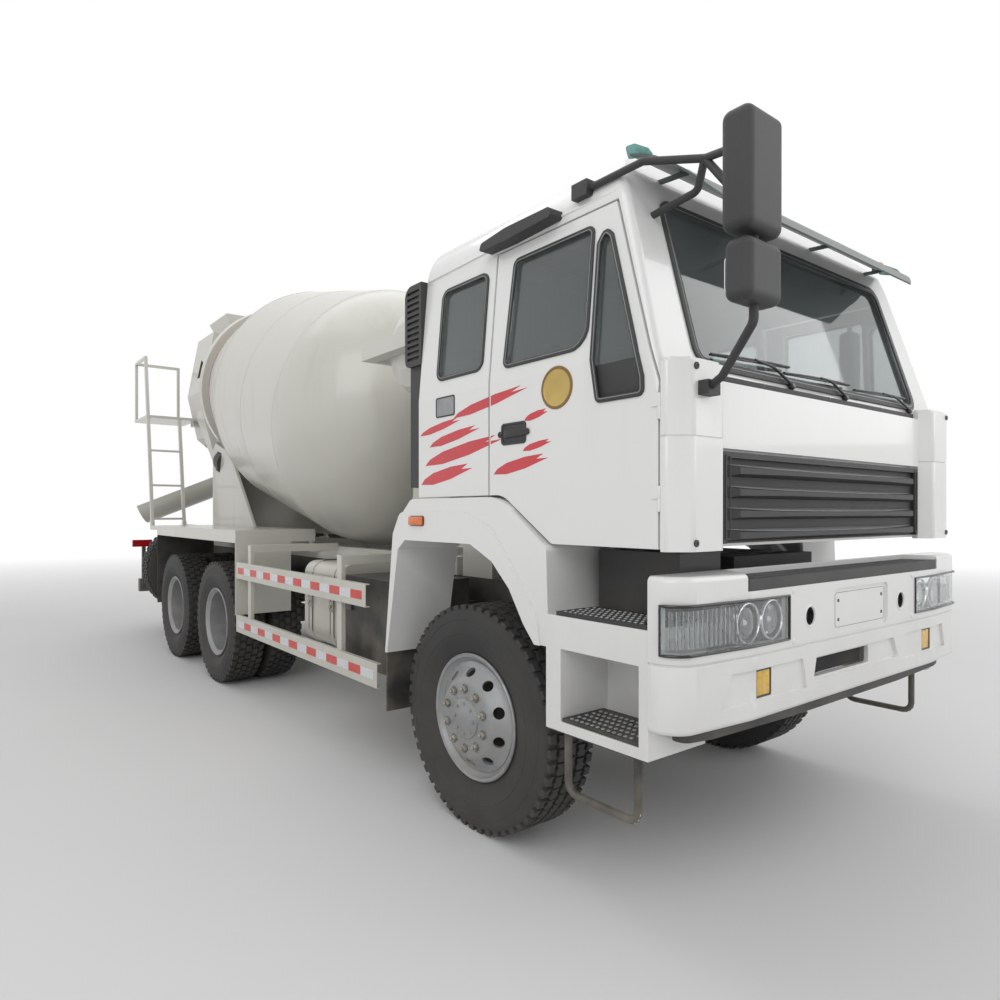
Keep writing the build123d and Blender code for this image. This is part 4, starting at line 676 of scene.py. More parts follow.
def hex_head(name, place, axis, across, height):
    """Bolt head or nut with a chamfered crown, standing on place."""
    r = across / math.sqrt(3)
    out = axis.orthogonal().normalized()
    obj = lathe(name, [(0, 0), (r, 0), (r, 0.8 * height), (0.82 * r, height), (0, height)], place, axis, out,
                steps=6)
    return obj


# ------------------------------------------------------------------ tyres
TYRE_LOW, TYRE_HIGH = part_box("front_tyre_right")
AXLE_Z = TYRE_HIGH[2] - 0.5 * (TYRE_HIGH[2] - TYRE_LOW[2])
TREAD_R = 0.5393           # flat crown of a block, whose corners reach 0.540
CARCASS = [(0.2905, -0.100), (0.300, -0.107), (0.318, -0.112), (0.350, -0.128), (0.392, -0.1445),
           (0.415, -0.1462),
           (0.440, -0.1450), (0.470, -0.1420), (0.497, -0.1370), (0.512, -0.1330), (0.519, -0.1270),
           (0.5245, -0.1150),
           (0.5250, 0.0)]
FRONT_PITCH, REAR_PITCH = 54, 46


def carcass(name):
    profile = CARCASS + [(r, -w) for r, w in reversed(CARCASS[:-1])]
    body = lathe(name, profile, Vector((0, 0, 0)), steps=90, ring=True)
    beads = [lathe(name + "_line", [(r - 0.004, w), (r, w + side * 0.003), (r + 0.004, w),
                                    (r, w - side * 0.004)],
                   Vector((0, 0, 0)), steps=90, ring=True)
             for side in (-1, 1) for r, w in ((0.312, side * 0.109), (0.402, side * 0.1445),
                                              (0.468, side * 0.1415))]
    return joined(name, [body] + beads)


def tread(name, blocks, pitch, root):
    """Rows of blocks round the crown, each a list of (across, arc) points laid square to its middle."""
    pieces = []
    for block in blocks:
        arcs = [arc for _, arc in block]
        middle = (min(arcs) + max(arcs)) / 2
        turn = Matrix.Rotation(middle / 0.525, 3, "Y")
        row = slab(name, [turn @ Vector((arc - middle, across, root)) for across, arc in block],
                   turn @ Vector((0, 0, TREAD_R - root)), soft=0.0015, segments=1)
        pieces.append(around(row, pitch, (0, 0, 0), AXIS_Y))
    return joined(name, pieces)


def front_tread(name):
    """Zigzag ribs in the middle and notched shoulders."""
    step = math.tau * 0.525 / FRONT_PITCH
    half = 0.44 * step
    rib = [(-0.021, -half), (-0.013, -half / 3), (-0.024, half / 3), (-0.016, half), (0.018, half),
           (0.026, half / 3),
           (0.015, -half / 3), (0.023, -half)]
    blocks = [rib]
    for side in (-1, 1):
        blocks.append([(side * (0.058 + a), b + 0.25 * step) for a, b in rib])
        blocks.append([(side * 0.091, -0.36 * step), (side * 0.100, 0.0), (side * 0.091, 0.36 * step),
                       (side * 0.1295, 0.30 * step), (side * 0.1310, -0.30 * step)])
    return tread(name, blocks, FRONT_PITCH, 0.511)


def rear_tread(name):
    """Staggered slanting blocks with deep gaps out to the shoulders."""
    step = math.tau * 0.525 / REAR_PITCH
    blocks = [[(-0.024, -0.36 * step), (-0.020, 0.40 * step), (0.024, 0.36 * step), (0.020, -0.40 * step)]]
    for side in (-1, 1):
        blocks.append([(side * 0.031, 0.15 * step), (side * 0.036, 0.87 * step), (side * 0.078, 0.80 * step),
                       (side * 0.074, 0.08 * step)])
        blocks.append([(side * 0.085, -0.30 * step), (side * 0.089, 0.34 * step),
                       (side * 0.1300, 0.24 * step),
                       (side * 0.1312, -0.40 * step)])
    return tread(name, blocks, REAR_PITCH, 0.508)


def tyres():
    """Detailed tyres stand for the frame's tyres."""
    kinds = {"front": joined("front_tyre_mould", [carcass("front_carcass"), front_tread("front_blocks")]),
             "rear": joined("rear_tyre_mould", [carcass("rear_carcass"), rear_tread("rear_blocks")])}
    places = []
    for side_name, side in SIDES:
        places.append((f"front_tyre_{side_name}", f"{side_name}_front_wheel", "front", 0.0, (side * 1.0155,)))
        for axle, x in (("first", -3.625), ("second", -4.975)):
            places.append((f"{axle}_rear_tyres_{side_name}", f"{axle}_rear_wheels_{side_name}", "rear", x,
                           (side * 1.0915, side * 0.7515)))
    for node, body, kind, x, middles in places:
        copies = [again(kinds[kind], node + "_rubber", at(x, y, AXLE_Z)) for y in middles]
        fit(joined(node + "_rubber", copies), body, "tyre_rubber", smooth=32, stands_for=(node,))
    low, high = (Vector(corner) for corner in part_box("spare_tyre"))
    spare = again(kinds["rear"], "spare_tyre_rubber")
    edit(spare)
    bpy.ops.transform.rotate(value=math.pi / 2, orient_axis="Z", center_override=(0, 0, 0))
    bpy.ops.transform.translate(value=(low + high) / 2)
    let_go()
    fit(spare, "chassis", "tyre_rubber", smooth=32, stands_for=("spare_tyre",))
    for mould in kinds.values():
        bpy.data.objects.remove(mould)


# ------------------------------------------------------------------ rims
HOLES = 10


def barrel(name):
    profile = [(0.262, -0.122), (0.298, -0.124), (0.304, -0.119), (0.304, -0.112), (0.291, -0.107),
               (0.290, -0.060),
               (0.290, 0.060), (0.291, 0.107), (0.304, 0.112), (0.304, 0.119), (0.298, 0.124), (0.286, 0.120),
               (0.276, 0.104), (0.264, 0.096), (0.262, 0.060)]
    return lathe(name, profile, Vector((0, 0, 0)), steps=72, ring=True)


def disc(name, face, turn):
    """Dished disc with hand holes, its flat face at that distance and turned out (1) or in (-1)."""
    outer = [(0.0, 0.0), (0.168, 0.0), (0.182, -0.004), (0.196, -0.013), (0.236, -0.052), (0.250, -0.062),
             (0.2635, -0.066), (0.2635, -0.082), (0.246, -0.078), (0.230, -0.068), (0.190, -0.030),
             (0.176, -0.018),
             (0.0, -0.014)]
    plate = lathe(name, [(r, face + turn * w) for r, w in outer], Vector((0, 0, 0)), steps=80)
    lean = Vector((0, turn * 0.72, 0.70))
    side = Vector((0, -turn * 0.70, 0.72))
    middle = Vector((0, face - turn * 0.034, 0.218))
    holes = lathe("hand_holes", [(0, -0.05), (0.0275, -0.05), (0.0275, 0.05), (0, 0.05)], middle, lean, side,
                  steps=20)
    plate = cut(plate, around(holes, HOLES, (0, 0, 0), AXIS_Y))
    pits = lathe("nut_pits", [(0, -0.004), (0.0235, -0.004), (0.0235, 0.03), (0, 0.03)],
                 Vector((0, face, 0.1425)), AXIS_Y * turn, AXIS_Z, steps=20)
    return cut(plate, around(pits, HOLES, (0, 0, 0), AXIS_Y))


def wheel_nuts(name, face, turn, r=0.1425):
    """Ring of nuts with stud ends."""
    nut = hex_head(name, Vector((0, face - turn * 0.004, r)), AXIS_Y * turn, 0.030, 0.022)
    stud = lathe(name, [(0, 0.0), (0.0085, 0.0), (0.0085, 0.027), (0.006, 0.030), (0, 0.030)],
                 Vector((0, face, r)), AXIS_Y * turn, AXIS_Z, steps=10)
    return around(joined(name, [nut, stud]), HOLES, (0, 0, 0), AXIS_Y)


def front_rim(name):
    cap = lathe(name + "_cap", [(0.0, 0.1765), (0.052, 0.1765), (0.058, 0.1735), (0.086, 0.1735),
                                (0.094, 0.170),
                                (0.098, 0.163), (0.0, 0.150)], Vector((0, 0, 0)), steps=48)
    drum_back = lathe(name + "_drum", [(0.0, 0.060), (0.118, 0.060), (0.118, -0.040), (0.0, -0.040)],
                      Vector((0, 0, 0)), steps=48)
    bolts = hex_head(name + "_bolt", Vector((0, 0.1735, 0.072)), AXIS_Y, 0.013, 0.007)
    return [barrel(name), disc(name, 0.165, 1), cap, drum_back, around(bolts, 8, (0, 0, 0), AXIS_Y)]


def rear_rim(name):
    """Outer rim of a twin: the disc lies deep inside and the hub stands out of it."""
    hub = lathe(name + "_hub", [(0.0, -0.170), (0.120, -0.170), (0.120, -0.120), (0.112, -0.108),
                                (0.104, -0.104),
                                (0.100, -0.072), (0.094, -0.064), (0.040, -0.060), (0.0, -0.060)],
                Vector((0, 0, 0)), steps=48)
    bolts = hex_head(name + "_bolt", Vector((0, -0.064, 0.080)), AXIS_Y, 0.014, 0.008)
    return [barrel(name), disc(name, -0.165, -1), hub, around(bolts, 10, (0, 0, 0), AXIS_Y)]


def rims():
    """Right-hand wheels are made first, facing -Y; the left ones are their mirror images."""
    front = joined("front_rim_mould", front_rim("front_rim_part"))
    front_nuts = wheel_nuts("front_nut_mould", 0.165, 1)
    outer = joined("outer_rim_mould", rear_rim("outer_rim_part"))
    outer_nuts = wheel_nuts("outer_nut_mould", -0.151, 1)
    inner = joined("inner_rim_mould", [barrel("inner_rim_part"), disc("inner_disc", 0.165, 1)])
    moulds = [front, front_nuts, outer, outer_nuts, inner]
    for mould in moulds:
        edit(mould)
        bpy.ops.transform.resize(value=(1, -1, 1), center_override=(0, 0, 0))
        bpy.ops.mesh.flip_normals()
        let_go()
    jobs = [("front_rim", "{side}_front_wheel", 0.0, ((front, -1.0155),), ((front_nuts, -1.0155),))]
    for axle, x in (("first", -3.625), ("second", -4.975)):
        jobs.append((f"{axle}_rear_rims", axle + "_rear_wheels_{side}", x,
                     ((outer, -1.0915), (inner, -0.7515)),
                     ((outer_nuts, -1.0915),)))
    for node, body, x, steel, nuts in jobs:
        def gather(parts, suffix):
            return lambda name: joined(name, [again(mould, name, at(x, y, AXLE_Z)) for mould, y in parts])
        for suffix, parts, finish in (("_steel", steel, None), ("_nuts", nuts, STEEL)):
            right = gather(parts, suffix)(node + suffix + "_right")
            left = mirrored(right, node + suffix + "_left")
            for side_name, piece in (("right", right), ("left", left)):
                stands_for = (f"{node}_{side_name}",) if suffix == "_steel" else ()
                fit(piece, body.format(side=side_name), "wheel_silver", finish, stands_for=stands_for)
    spare = again(front, "spare_rim_steel")
    edit(spare)
    bpy.ops.transform.rotate(value=-math.pi / 2, orient_axis="Z", center_override=(0, 0, 0))
    tyre_low, tyre_high = (Vector(corner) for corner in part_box("spare_tyre"))
    bpy.ops.transform.translate(value=(tyre_low + tyre_high) / 2)
    let_go()
    fit(spare, "chassis", "wheel_silver", stands_for=("spare_rim",))
    for mould in moulds:
        bpy.data.objects.remove(mould)


tyres()
rims()


# ------------------------------------------------------------------ flat shapes laid on the sheet
def rounded(points, radius, steps=4):
    """Corner list with each corner turned into an arc; points are 2-D, a radius of 0 keeps the corner."""
    count = len(points)
    radii = radius if isinstance(radius, (list, tuple)) else [radius] * count
    out = []
    for i, corner in enumerate(points):
        here = Vector(corner)
        before, after = Vector(points[i - 1]) - here, Vector(points[(i + 1) % count]) - here
        half = before.angle(after) / 2
        reach = min(radii[i] / math.tan(half), 0.49 * before.length, 0.49 * after.length)
        if reach < 1e-4:
            out.append(tuple(here))
            continue
        middle = here + (before.normalized() + after.normalized()).normalized() * reach / math.cos(half)
        start, end = here + before.normalized() * reach - middle, here + after.normalized() * reach - middle
        for step in range(steps + 1):
            ray = start.lerp(end, step / steps)
            out.append(tuple(middle + ray.normalized() * start.length))
    return out


def band(points, inward):
    """The same outline moved in by a width (out by a negative one)."""
    count = len(points)
    area = sum(points[i - 1][0] * points[i][1] - points[i][0] * points[i - 1][1] for i in range(count))
    turn = 1.0 if area > 0 else -1.0
    out = []
    for i in range(count):
        here = Vector(points[i])
        first = (here - Vector(points[i - 1])).normalized()
        second = (Vector(points[(i + 1) % count]) - here).normalized()
        left = Vector((-first.y, first.x)) + Vector((-second.y, second.x))
        length = max(left.length, 0.6)
        out.append(tuple(here + left.normalized() * turn * inward * 2 / length))
    return out


def ribbon(name, outline, width, lay, thick, soft=0.0015, gap=0.0):
    """Closed strip of that width inside an outline, laid on a surface by lay(u, v, height)."""
    outer, inner = band(outline, gap), band(outline, gap + width)
    obj = draw(name, [lay(u, v, 0.0) for u, v in outer] + [lay(*outer[0], 0.0)], closed=False)
    bpy.ops.mesh.remove_doubles(threshold=1e-6)
    let_go()
    other = draw(name + "_in", [lay(u, v, 0.0) for u, v in inner] + [lay(*inner[0], 0.0)], closed=False)
    bpy.ops.mesh.remove_doubles(threshold=1e-6)
    let_go()
    obj = joined(name, [obj, other])
    edit(obj)
    bpy.ops.mesh.bridge_edge_loops()
    bpy.ops.mesh.select_all(action="SELECT")
    rise = lay(0, 0, 1.0) - lay(0, 0, 0.0)
    bpy.ops.mesh.extrude_region_move(TRANSFORM_OT_translate={"value": rise * thick})
    outward()
    up = rise.normalized()
    if soft:
        pick_parts(obj, "edges", lambda e: len(e.link_faces) == 2 and e.calc_face_angle(0) > 1.0
                   and max(f.normal.dot(up) for f in e.link_faces) > 0.9)
        bpy.ops.mesh.bevel(offset=soft, segments=2, clamp_overlap=True)
    let_go()
    return obj


def plate(name, outline, lay, low, high, soft=0.0015, segments=2):
    """Closed outline as a plate that stands from low to high above the surface."""
    rise = lay(0, 0, 1.0) - lay(0, 0, 0.0)
    return slab(name, [lay(u, v, low) for u, v in outline], rise * (high - low), soft=soft, segments=segments)


# The cab side is upright to 2.1 m and leans in above; v counts as height.
LEAN_FROM, LEAN_IN, LEAN_OVER = 2.100, 0.055, 0.600
CAB_SIDE_Y = 1.205


def side_lean(z):
    return CAB_SIDE_Y - LEAN_IN * max(0.0, z - LEAN_FROM) / LEAN_OVER


def on_right(x, z, height):
    """Right cab side; height grows outwards."""
    return at(x, -side_lean(z) - height, z)


def on_right_low(x, z, height):
    return at(x, -CAB_SIDE_Y - height, z)


# The windscreen leans back from 2.02 m.
SCREEN_X, SCREEN_Z, SCREEN_RAKE = 1.125, 2.020, 0.2815
SCREEN_OUT = Vector((1.0, 0.0, SCREEN_RAKE)).normalized()


def on_screen(y, z, height):
    return at(SCREEN_X - SCREEN_RAKE * (z - SCREEN_Z), y, z) + SCREEN_OUT * height


def on_front(x):
    """Upright face that looks forward at that distance."""
    return lambda y, z, height: at(x + height, y, z)


# ------------------------------------------------------------------ windows
DOOR_WINDOW = rounded([(0.302, 2.165), (0.785, 2.165), (0.785, 2.640), (0.330, 2.640)],
                      [0.03, 0.085, 0.03, 0.03], 5)
QUARTER = rounded([(0.840, 1.945), (1.052, 1.945), (1.050, 2.010), (1.018, 2.130), (0.880, 2.575),
                   (0.845, 2.610),
                   (0.812, 2.560), (0.812, 2.110)], 0.02, 3)
SIDE_WINDOW = rounded([(-0.205, 2.185), (0.150, 2.185), (0.150, 2.640), (-0.205, 2.640)], 0.045, 5)
SCREEN = rounded([(-0.975, 2.068), (0.975, 2.068), (0.950, 2.742), (-0.950, 2.742)], 0.07, 6)


def seals():
    """Rubber seals round all the windows, with a paler line in them."""
    for name, outline, body in (("door_seal", DOOR_WINDOW, "{side}_door"),
                                ("quarter_seal", QUARTER, "{side}_door"),
                                ("side_seal", SIDE_WINDOW, "cab")):
        both(lambda n: ribbon(n, outline, 0.020, on_right, 0.0070, 0.0025, gap=-0.006), name, body,
             "dark_plastic")
        both(lambda n: ribbon(n, outline, 0.0035, on_right, 0.0077, 0.001, gap=0.006), name + "_line", body,
             "dark_plastic", SEAL_LINE_AND_GROOVE_SHADE)
    screen = ribbon("screen_seal", SCREEN, 0.036, on_screen, 0.0075, 0.003, gap=-0.010)
    fit(screen, "cab", "dark_plastic")
    line = ribbon("screen_seal_line", SCREEN, 0.004, on_screen, 0.0083, 0.001, gap=0.010)
    fit(line, "cab", "dark_plastic", SEAL_LINE_AND_GROOVE_SHADE)
    lower = [(0.842, 1.949), (1.044, 1.949), (1.040, 2.010), (1.006, 2.085), (0.818, 2.085), (0.822, 2.040)]
    both(lambda n: plate(n, rounded(lower, 0.008, 2), on_right, -0.0125, -0.0075, 0.001), "quarter_panel",
         "{side}_door", "dark_plastic")


# ------------------------------------------------------------------ cab side
def door_handle(name):
    """Shallow pocket with its rim; the pull handle across it and the round lock at its rear are made by
    handle_bar.
    """
    rim = ribbon(name + "_rim", rounded([(0.292, 1.822), (0.452, 1.822), (0.452, 1.918), (0.292, 1.918)],
                                        0.018, 4),
                 0.010, on_right_low, 0.0040, 0.002)
    cup = plate(name + "_cup", rounded([(0.300, 1.830), (0.444, 1.830), (0.444, 1.910), (0.300, 1.910)],
                                       0.014, 4),
                on_right_low, -0.0005, 0.0015, 0.0005)
    return joined(name, [rim, cup])


def handle_bar(name):
    bar = plate(name + "_bar", rounded([(0.312, 1.852), (0.474, 1.856), (0.474, 1.884), (0.312, 1.890)],
                                       0.012, 4),
                on_right_low, 0.0020, 0.0078, 0.0028, 3)
    lock = lathe(name + "_lock", [(0, 0.001), (0.013, 0.001), (0.0135, 0.0055), (0.0115, 0.0070),
                                  (0.004, 0.0070),
                                  (0.0035, 0.0052), (0, 0.0052)],
                 on_right_low(0.286, 1.871, 0), -AXIS_Y, AXIS_Z, steps=28)
    return joined(name, [bar, lock])


STREAKS = ((-0.335, 1.660, 0.42, 0.060), (-0.300, 1.755, 0.60, 0.062), (-0.260, 1.850, 0.40, 0.045),
           (-0.345, 1.915, 0.34, 0.035), (-0.060, 1.975, 0.52, 0.045), (0.240, 1.690, 0.34, 0.050),
           (0.430, 1.785, 0.17, 0.028), (0.440, 1.912, 0.14, 0.030))
DOOR_EDGE = (0.205, 0.219)
STROKE = ((0.0, 0.15), (0.25, -0.10), (0.60, 0.0), (1.0, 0.42), (0.80, 0.58), (0.92, 0.86), (0.60, 1.0),
          (0.25, 0.88),
          (0.07, 0.55))


def streak(x, z, length, width):
    """Tapered brush stroke that rises towards the front."""
    return [(x + u * length, z + 0.12 * u * length + v * width) for u, v in STROKE]


def clipped(points, keep_above=None, keep_below=None):
    """Part of an outline on one side of an upright line."""
    sign, edge = (1.0, keep_above) if keep_above is not None else (-1.0, keep_below)
    out = []
    for i, b in enumerate(points):
        a = points[i - 1]
        da, db = sign * (a[0] - edge), sign * (b[0] - edge)
        if (da < 0) != (db < 0):
            t = da / (da - db)
            out.append((a[0] + t * (b[0] - a[0]), a[1] + t * (b[1] - a[1])))
        if db >= 0:
            out.append(b)
    return out


def streak_sheets(name, clip):
    pieces = []
    for place in STREAKS:
        shape = clipped(streak(*place), **clip)
        if len(shape) > 2 and max(p[0] for p in shape) - min(p[0] for p in shape) > 0.01:
            pieces.append(plate(name, shape, on_right_low, -0.0004, 0.0009, 0.0))
    return joined(name, pieces)


def cab_side():
    both(door_handle, "handle_cup", "{side}_door", "dark_plastic")
    both(handle_bar, "handle", "{side}_door", "dark_plastic", BLACK_GLOSS)
    both(lambda n: streak_sheets(n, {"keep_below": DOOR_EDGE[0]}), "streaks_rear", "cab", "cab_white", STREAK)
    both(lambda n: streak_sheets(n, {"keep_above": DOOR_EDGE[1]}), "streaks_door", "{side}_door", "cab_white",
         STREAK)
    both(lambda n: lathe(n, [(0, 0.0), (0.085, 0.0), (0.085, 0.0020), (0.0835, 0.0030), (0.073, 0.0030),
                             (0.072, 0.0022), (0, 0.0022)], on_right_low(0.630, 2.030, 0), -AXIS_Y, AXIS_Z,
                             steps=72),
         "disc", "{side}_door", "cab_white", GOLD)
    both(lambda n: lathe(n, [(0.0735, 0.0), (0.0865, 0.0), (0.0865, 0.0026), (0.0850, 0.0036),
                             (0.0750, 0.0036),
                             (0.0735, 0.0026)], on_right_low(0.630, 2.030, 0), -AXIS_Y, AXIS_Z, steps=72,
                             ring=True),
         "disc_rim", "{side}_door", "cab_white", GOLD_DARK)
    both(lambda n: ribbon(n, rounded([(-0.205, 1.998), (-0.050, 1.998), (-0.050, 2.098), (-0.205, 2.098)],
                                     0.012, 3),
                          0.007, on_right_low, 0.0030, 0.001), "plate_frame", "cab", "dark_plastic")
    both(lambda n: plate(n, rounded([(-0.201, 2.002), (-0.054, 2.002), (-0.054, 2.094), (-0.201, 2.094)],
                                    0.009, 3),
                         on_right_low, -0.0003, 0.0018, 0.0006), "side_plate", "cab", "wheel_silver")
    for x in (-0.185, -0.070):
        for z in (2.018, 2.078):
            both(lambda n: lathe(n, [(0, 0.001), (0.0045, 0.001), (0.0045, 0.0030), (0.003, 0.0038),
                                     (0, 0.0038)],
                                 on_right_low(x, z, 0), -AXIS_Y, AXIS_Z, steps=12), "plate_screw", "cab",
                 "wheel_silver", STEEL)
    both(lambda n: tube(n, [on_right(-0.345, 2.730, 0.002), on_right(0.180, 2.744, 0.002),
                            on_right(0.620, 2.744, 0.001),
                            on_right(0.880, 2.744, -0.004)], 0.006, bend=0.03), "gutter", "cab", "cab_white")


seals()
cab_side()


# ------------------------------------------------------------------ bumper and lamps
NOSE_X, NOSE_Y, NOSE_CUT = 1.250, 1.245, 1.149


def nose_line(inset, inner, low_x=NOSE_CUT):
    """Bumper face seen from above, right side, from |y| = inner round to the side at low_x; (x, y) points."""
    line = rounded([(NOSE_X - inset, -inner), (NOSE_X - inset, -0.825), (1.215 - inset, inset - NOSE_Y),
                    (1.050, inset - NOSE_Y)], [0, 0.4, 0.110 - inset, 0], 8)
    out = []
    for a, b in zip(line, line[1:] + line[-1:]):
        out.append(a)
        if a[0] > low_x > b[0]:
            t = (a[0] - low_x) / (a[0] - b[0])
            out.append((low_x, a[1] + t * (b[1] - a[1])))
            break
    return out


def nose_sheet(name, inset, thick, inner, low, high, outer=None, soft=0.0):
    """Sheet that follows the bumper's face at a depth, from one height to another."""
    front, back = nose_line(inset, inner), nose_line(inset + thick, inner)
    if outer:
        front, back = ([p for p in line if -p[1] <= outer] for line in (front, back))
    return slab(name, [at(x, y, low) for x, y in front + back[::-1]], AXIS_Z * (high - low), soft=soft)


LAMP_INNER, LAMP_LOW, LAMP_HIGH, LAMP_MID = 0.5945, 1.0485, 1.2075, 1.128
BOWLS = ((0.688, 0.070), (0.850, 0.070))


def lamp_house(name):
    """Chromed tray with two bowls and a stepped outer pocket."""
    tray = nose_sheet(name, 0.016, 0.050, LAMP_INNER + 0.002, LAMP_LOW + 0.002, LAMP_HIGH - 0.002)
    for y, r in BOWLS:
        bowl = lathe("bowl", [(0, -0.044), (0.4 * r, -0.040), (0.75 * r, -0.026), (r, 0.0), (r, 0.03),
                              (0, 0.03)],
                     at(NOSE_X - 0.017, -y, LAMP_MID), AXIS_X, AXIS_Z, steps=36)
        tray = cut(tray, bowl)
    pocket = nose_sheet("pocket", -0.010, 0.038, 0.945, LAMP_LOW + 0.014, LAMP_HIGH - 0.014)
    return cut(tray, pocket)


def lamp_rings(name):
    rings = []
    for y, r in BOWLS:
        rings.append(lathe(name, [(r - 0.002, -0.003), (r + 0.006, -0.003), (r + 0.004, 0.004), (r, 0.005),
                                  (r - 0.002, 0.001)], at(NOSE_X - 0.017, -y, LAMP_MID), AXIS_X, AXIS_Z,
                                  steps=40,
                           ring=True))
        rings.append(lathe(name, [(0, -0.040), (0.012, -0.040), (0.012, -0.020), (0.008, -0.014),
                                  (0, -0.013)],
                           at(NOSE_X - 0.017, -y, LAMP_MID), AXIS_X, AXIS_Z, steps=16))
    return joined(name, rings)


def lamp_lenses(name):
    """Domed round lenses in the bowls and upright flutes in front of the outer pocket."""
    pieces = []
    for y, r in BOWLS:
        dome = [(0, 0.006), (0.35 * r, 0.0045), (0.65 * r, 0.0005), (0.80 * r, -0.0045), (0.82 * r, -0.009),
                (0, -0.009)]
        pieces.append(lathe(name, dome, at(NOSE_X - 0.020, -y, LAMP_MID), AXIS_X, AXIS_Z, steps=36))
    for x, y in nose_steps(0.0175, 0.958, 17):
        pieces.append(lathe(name, [(0, -0.064), (0.0072, -0.064), (0.0072, 0.064), (0, 0.064)],
                            at(x, y, LAMP_MID),
                            AXIS_Z, AXIS_X, steps=8))
    return joined(name, pieces)


def nose_steps(inset, inner, count):
    """Places at even steps along the bumper's face."""
    line = [Vector(p) for p in nose_line(inset, inner)]
    lengths = [(b - a).length for a, b in zip(line, line[1:])]
    step = sum(lengths) / (count + 1)
    out, goal, gone = [], step, 0.0
    for (a, b), length in zip(zip(line, line[1:]), lengths):
        while goal <= gone + length + 1e-9 and len(out) < count:
            out.append(tuple(a.lerp(b, (goal - gone) / length)))
            goal += step
        gone += length
    return out


def lamp_bezel(name):
    line = nose_line(-0.001, 0.589)
    low, high = LAMP_LOW - 0.004, LAMP_HIGH + 0.004
    path = [at(x, y, low) for x, y in line] + [at(x, y, high) for x, y in reversed(line)]
    return tube(name, path, 0.0055, closed=True)


def fog_lamp(name):
    edge = rounded([(-0.800, 0.850), (-0.700, 0.850), (-0.700, 0.950), (-0.800, 0.950)], 0.010, 3)
    return plate(name, edge, on_front(1.2143), 0.0, 0.0225, 0.006, 3)


def fog_frame(name):
    edge = rounded([(-0.802, 0.848), (-0.698, 0.848), (-0.698, 0.952), (-0.802, 0.952)], 0.010, 3)
    rim = ribbon(name, edge, 0.008, on_front(1.2145), 0.0245, 0.002, gap=-0.001)
    back = plate(name + "_back", edge, on_front(1.2015), 0.0, 0.0125, 0.001)
    return joined(name, [rim, back])


def socket_lip(name):
    lip = [(0.0350, -0.006), (0.0365, 0.0010), (0.0400, 0.0030), (0.0450, 0.0024), (0.0480, -0.0010),
           (0.0440, -0.003),
           (0.0380, -0.004)]
    return lathe(name, lip, at(NOSE_X, -0.425, 1.118), AXIS_X, AXIS_Z, steps=40, ring=True)


def socket_cup(name):
    cup = [(0, -0.0285), (0.0358, -0.0285), (0.0358, -0.004), (0.0335, -0.004), (0.0335, -0.022),
           (0.012, -0.024),
           (0.009, -0.014), (0, -0.013)]
    return lathe(name, cup, at(NOSE_X, -0.425, 1.118), AXIS_X, AXIS_Z, steps=36)


def nose_caps(name):
    """Small caps above and below the lamp's inner end."""
    dot = [(0, -0.001), (0.0125, -0.001), (0.0125, 0.0012), (0.010, 0.0030), (0.004, 0.0034), (0, 0.0034)]
    return joined(name, [lathe(name, dot, at(NOSE_X, -0.553, z), AXIS_X, AXIS_Z, steps=24)
                         for z in (1.032, 1.226)])


def air_mesh():
    """Woven wire behind the slot."""
    let_go()
    bpy.ops.mesh.primitive_grid_add(x_subdivisions=9, y_subdivisions=60, size=1, location=(0, 0, 0))
    mesh = bpy.context.object
    edit(mesh)
    bpy.ops.transform.resize(value=(0.0725, 0.488, 1.0))
    bpy.ops.transform.rotate(value=math.pi / 2, orient_axis="Y", center_override=(0, 0, 0))
    bpy.ops.transform.translate(value=at(1.2195, -0.130, 0.905))
    let_go()
    wire = mesh.modifiers.new("wire", "WIREFRAME")
    wire.thickness = 0.0022
    bpy.ops.object.modifier_apply(modifier=wire.name)
    back = brick("air_back", at(1.2010, -0.3745, 0.8685), at(1.2040, 0.1145, 0.9415), 0.001)
    return joined("air_mesh", [mesh, back])


def step_pads():
    """Ribbed rubber in the two troughs of the bumper's step, broken into three lengths."""
    pads = []
    for x0, x1 in ((1.1325, 1.1735), (1.1865, 1.2275)):
        for y0, y1 in ((-0.778, -0.268), (-0.262, 0.262), (0.268, 0.778)):
            pads.append(brick("step_pad", at(x0, y0, 1.2829), at(x1, y1, 1.2862), 0.0012, 1))
        rib = brick("step_rib", at(x0 + 0.003, -0.7715, 1.2858), at(x1 - 0.003, -0.7655, 1.2880), 0.0009, 1)
        edit(rib)
        for _ in range(118):
            bpy.ops.mesh.duplicate_move(TRANSFORM_OT_translate={"value": (0, 0.013, 0)})
        let_go()
        pads.append(rib)
    return joined("step_pads", pads)


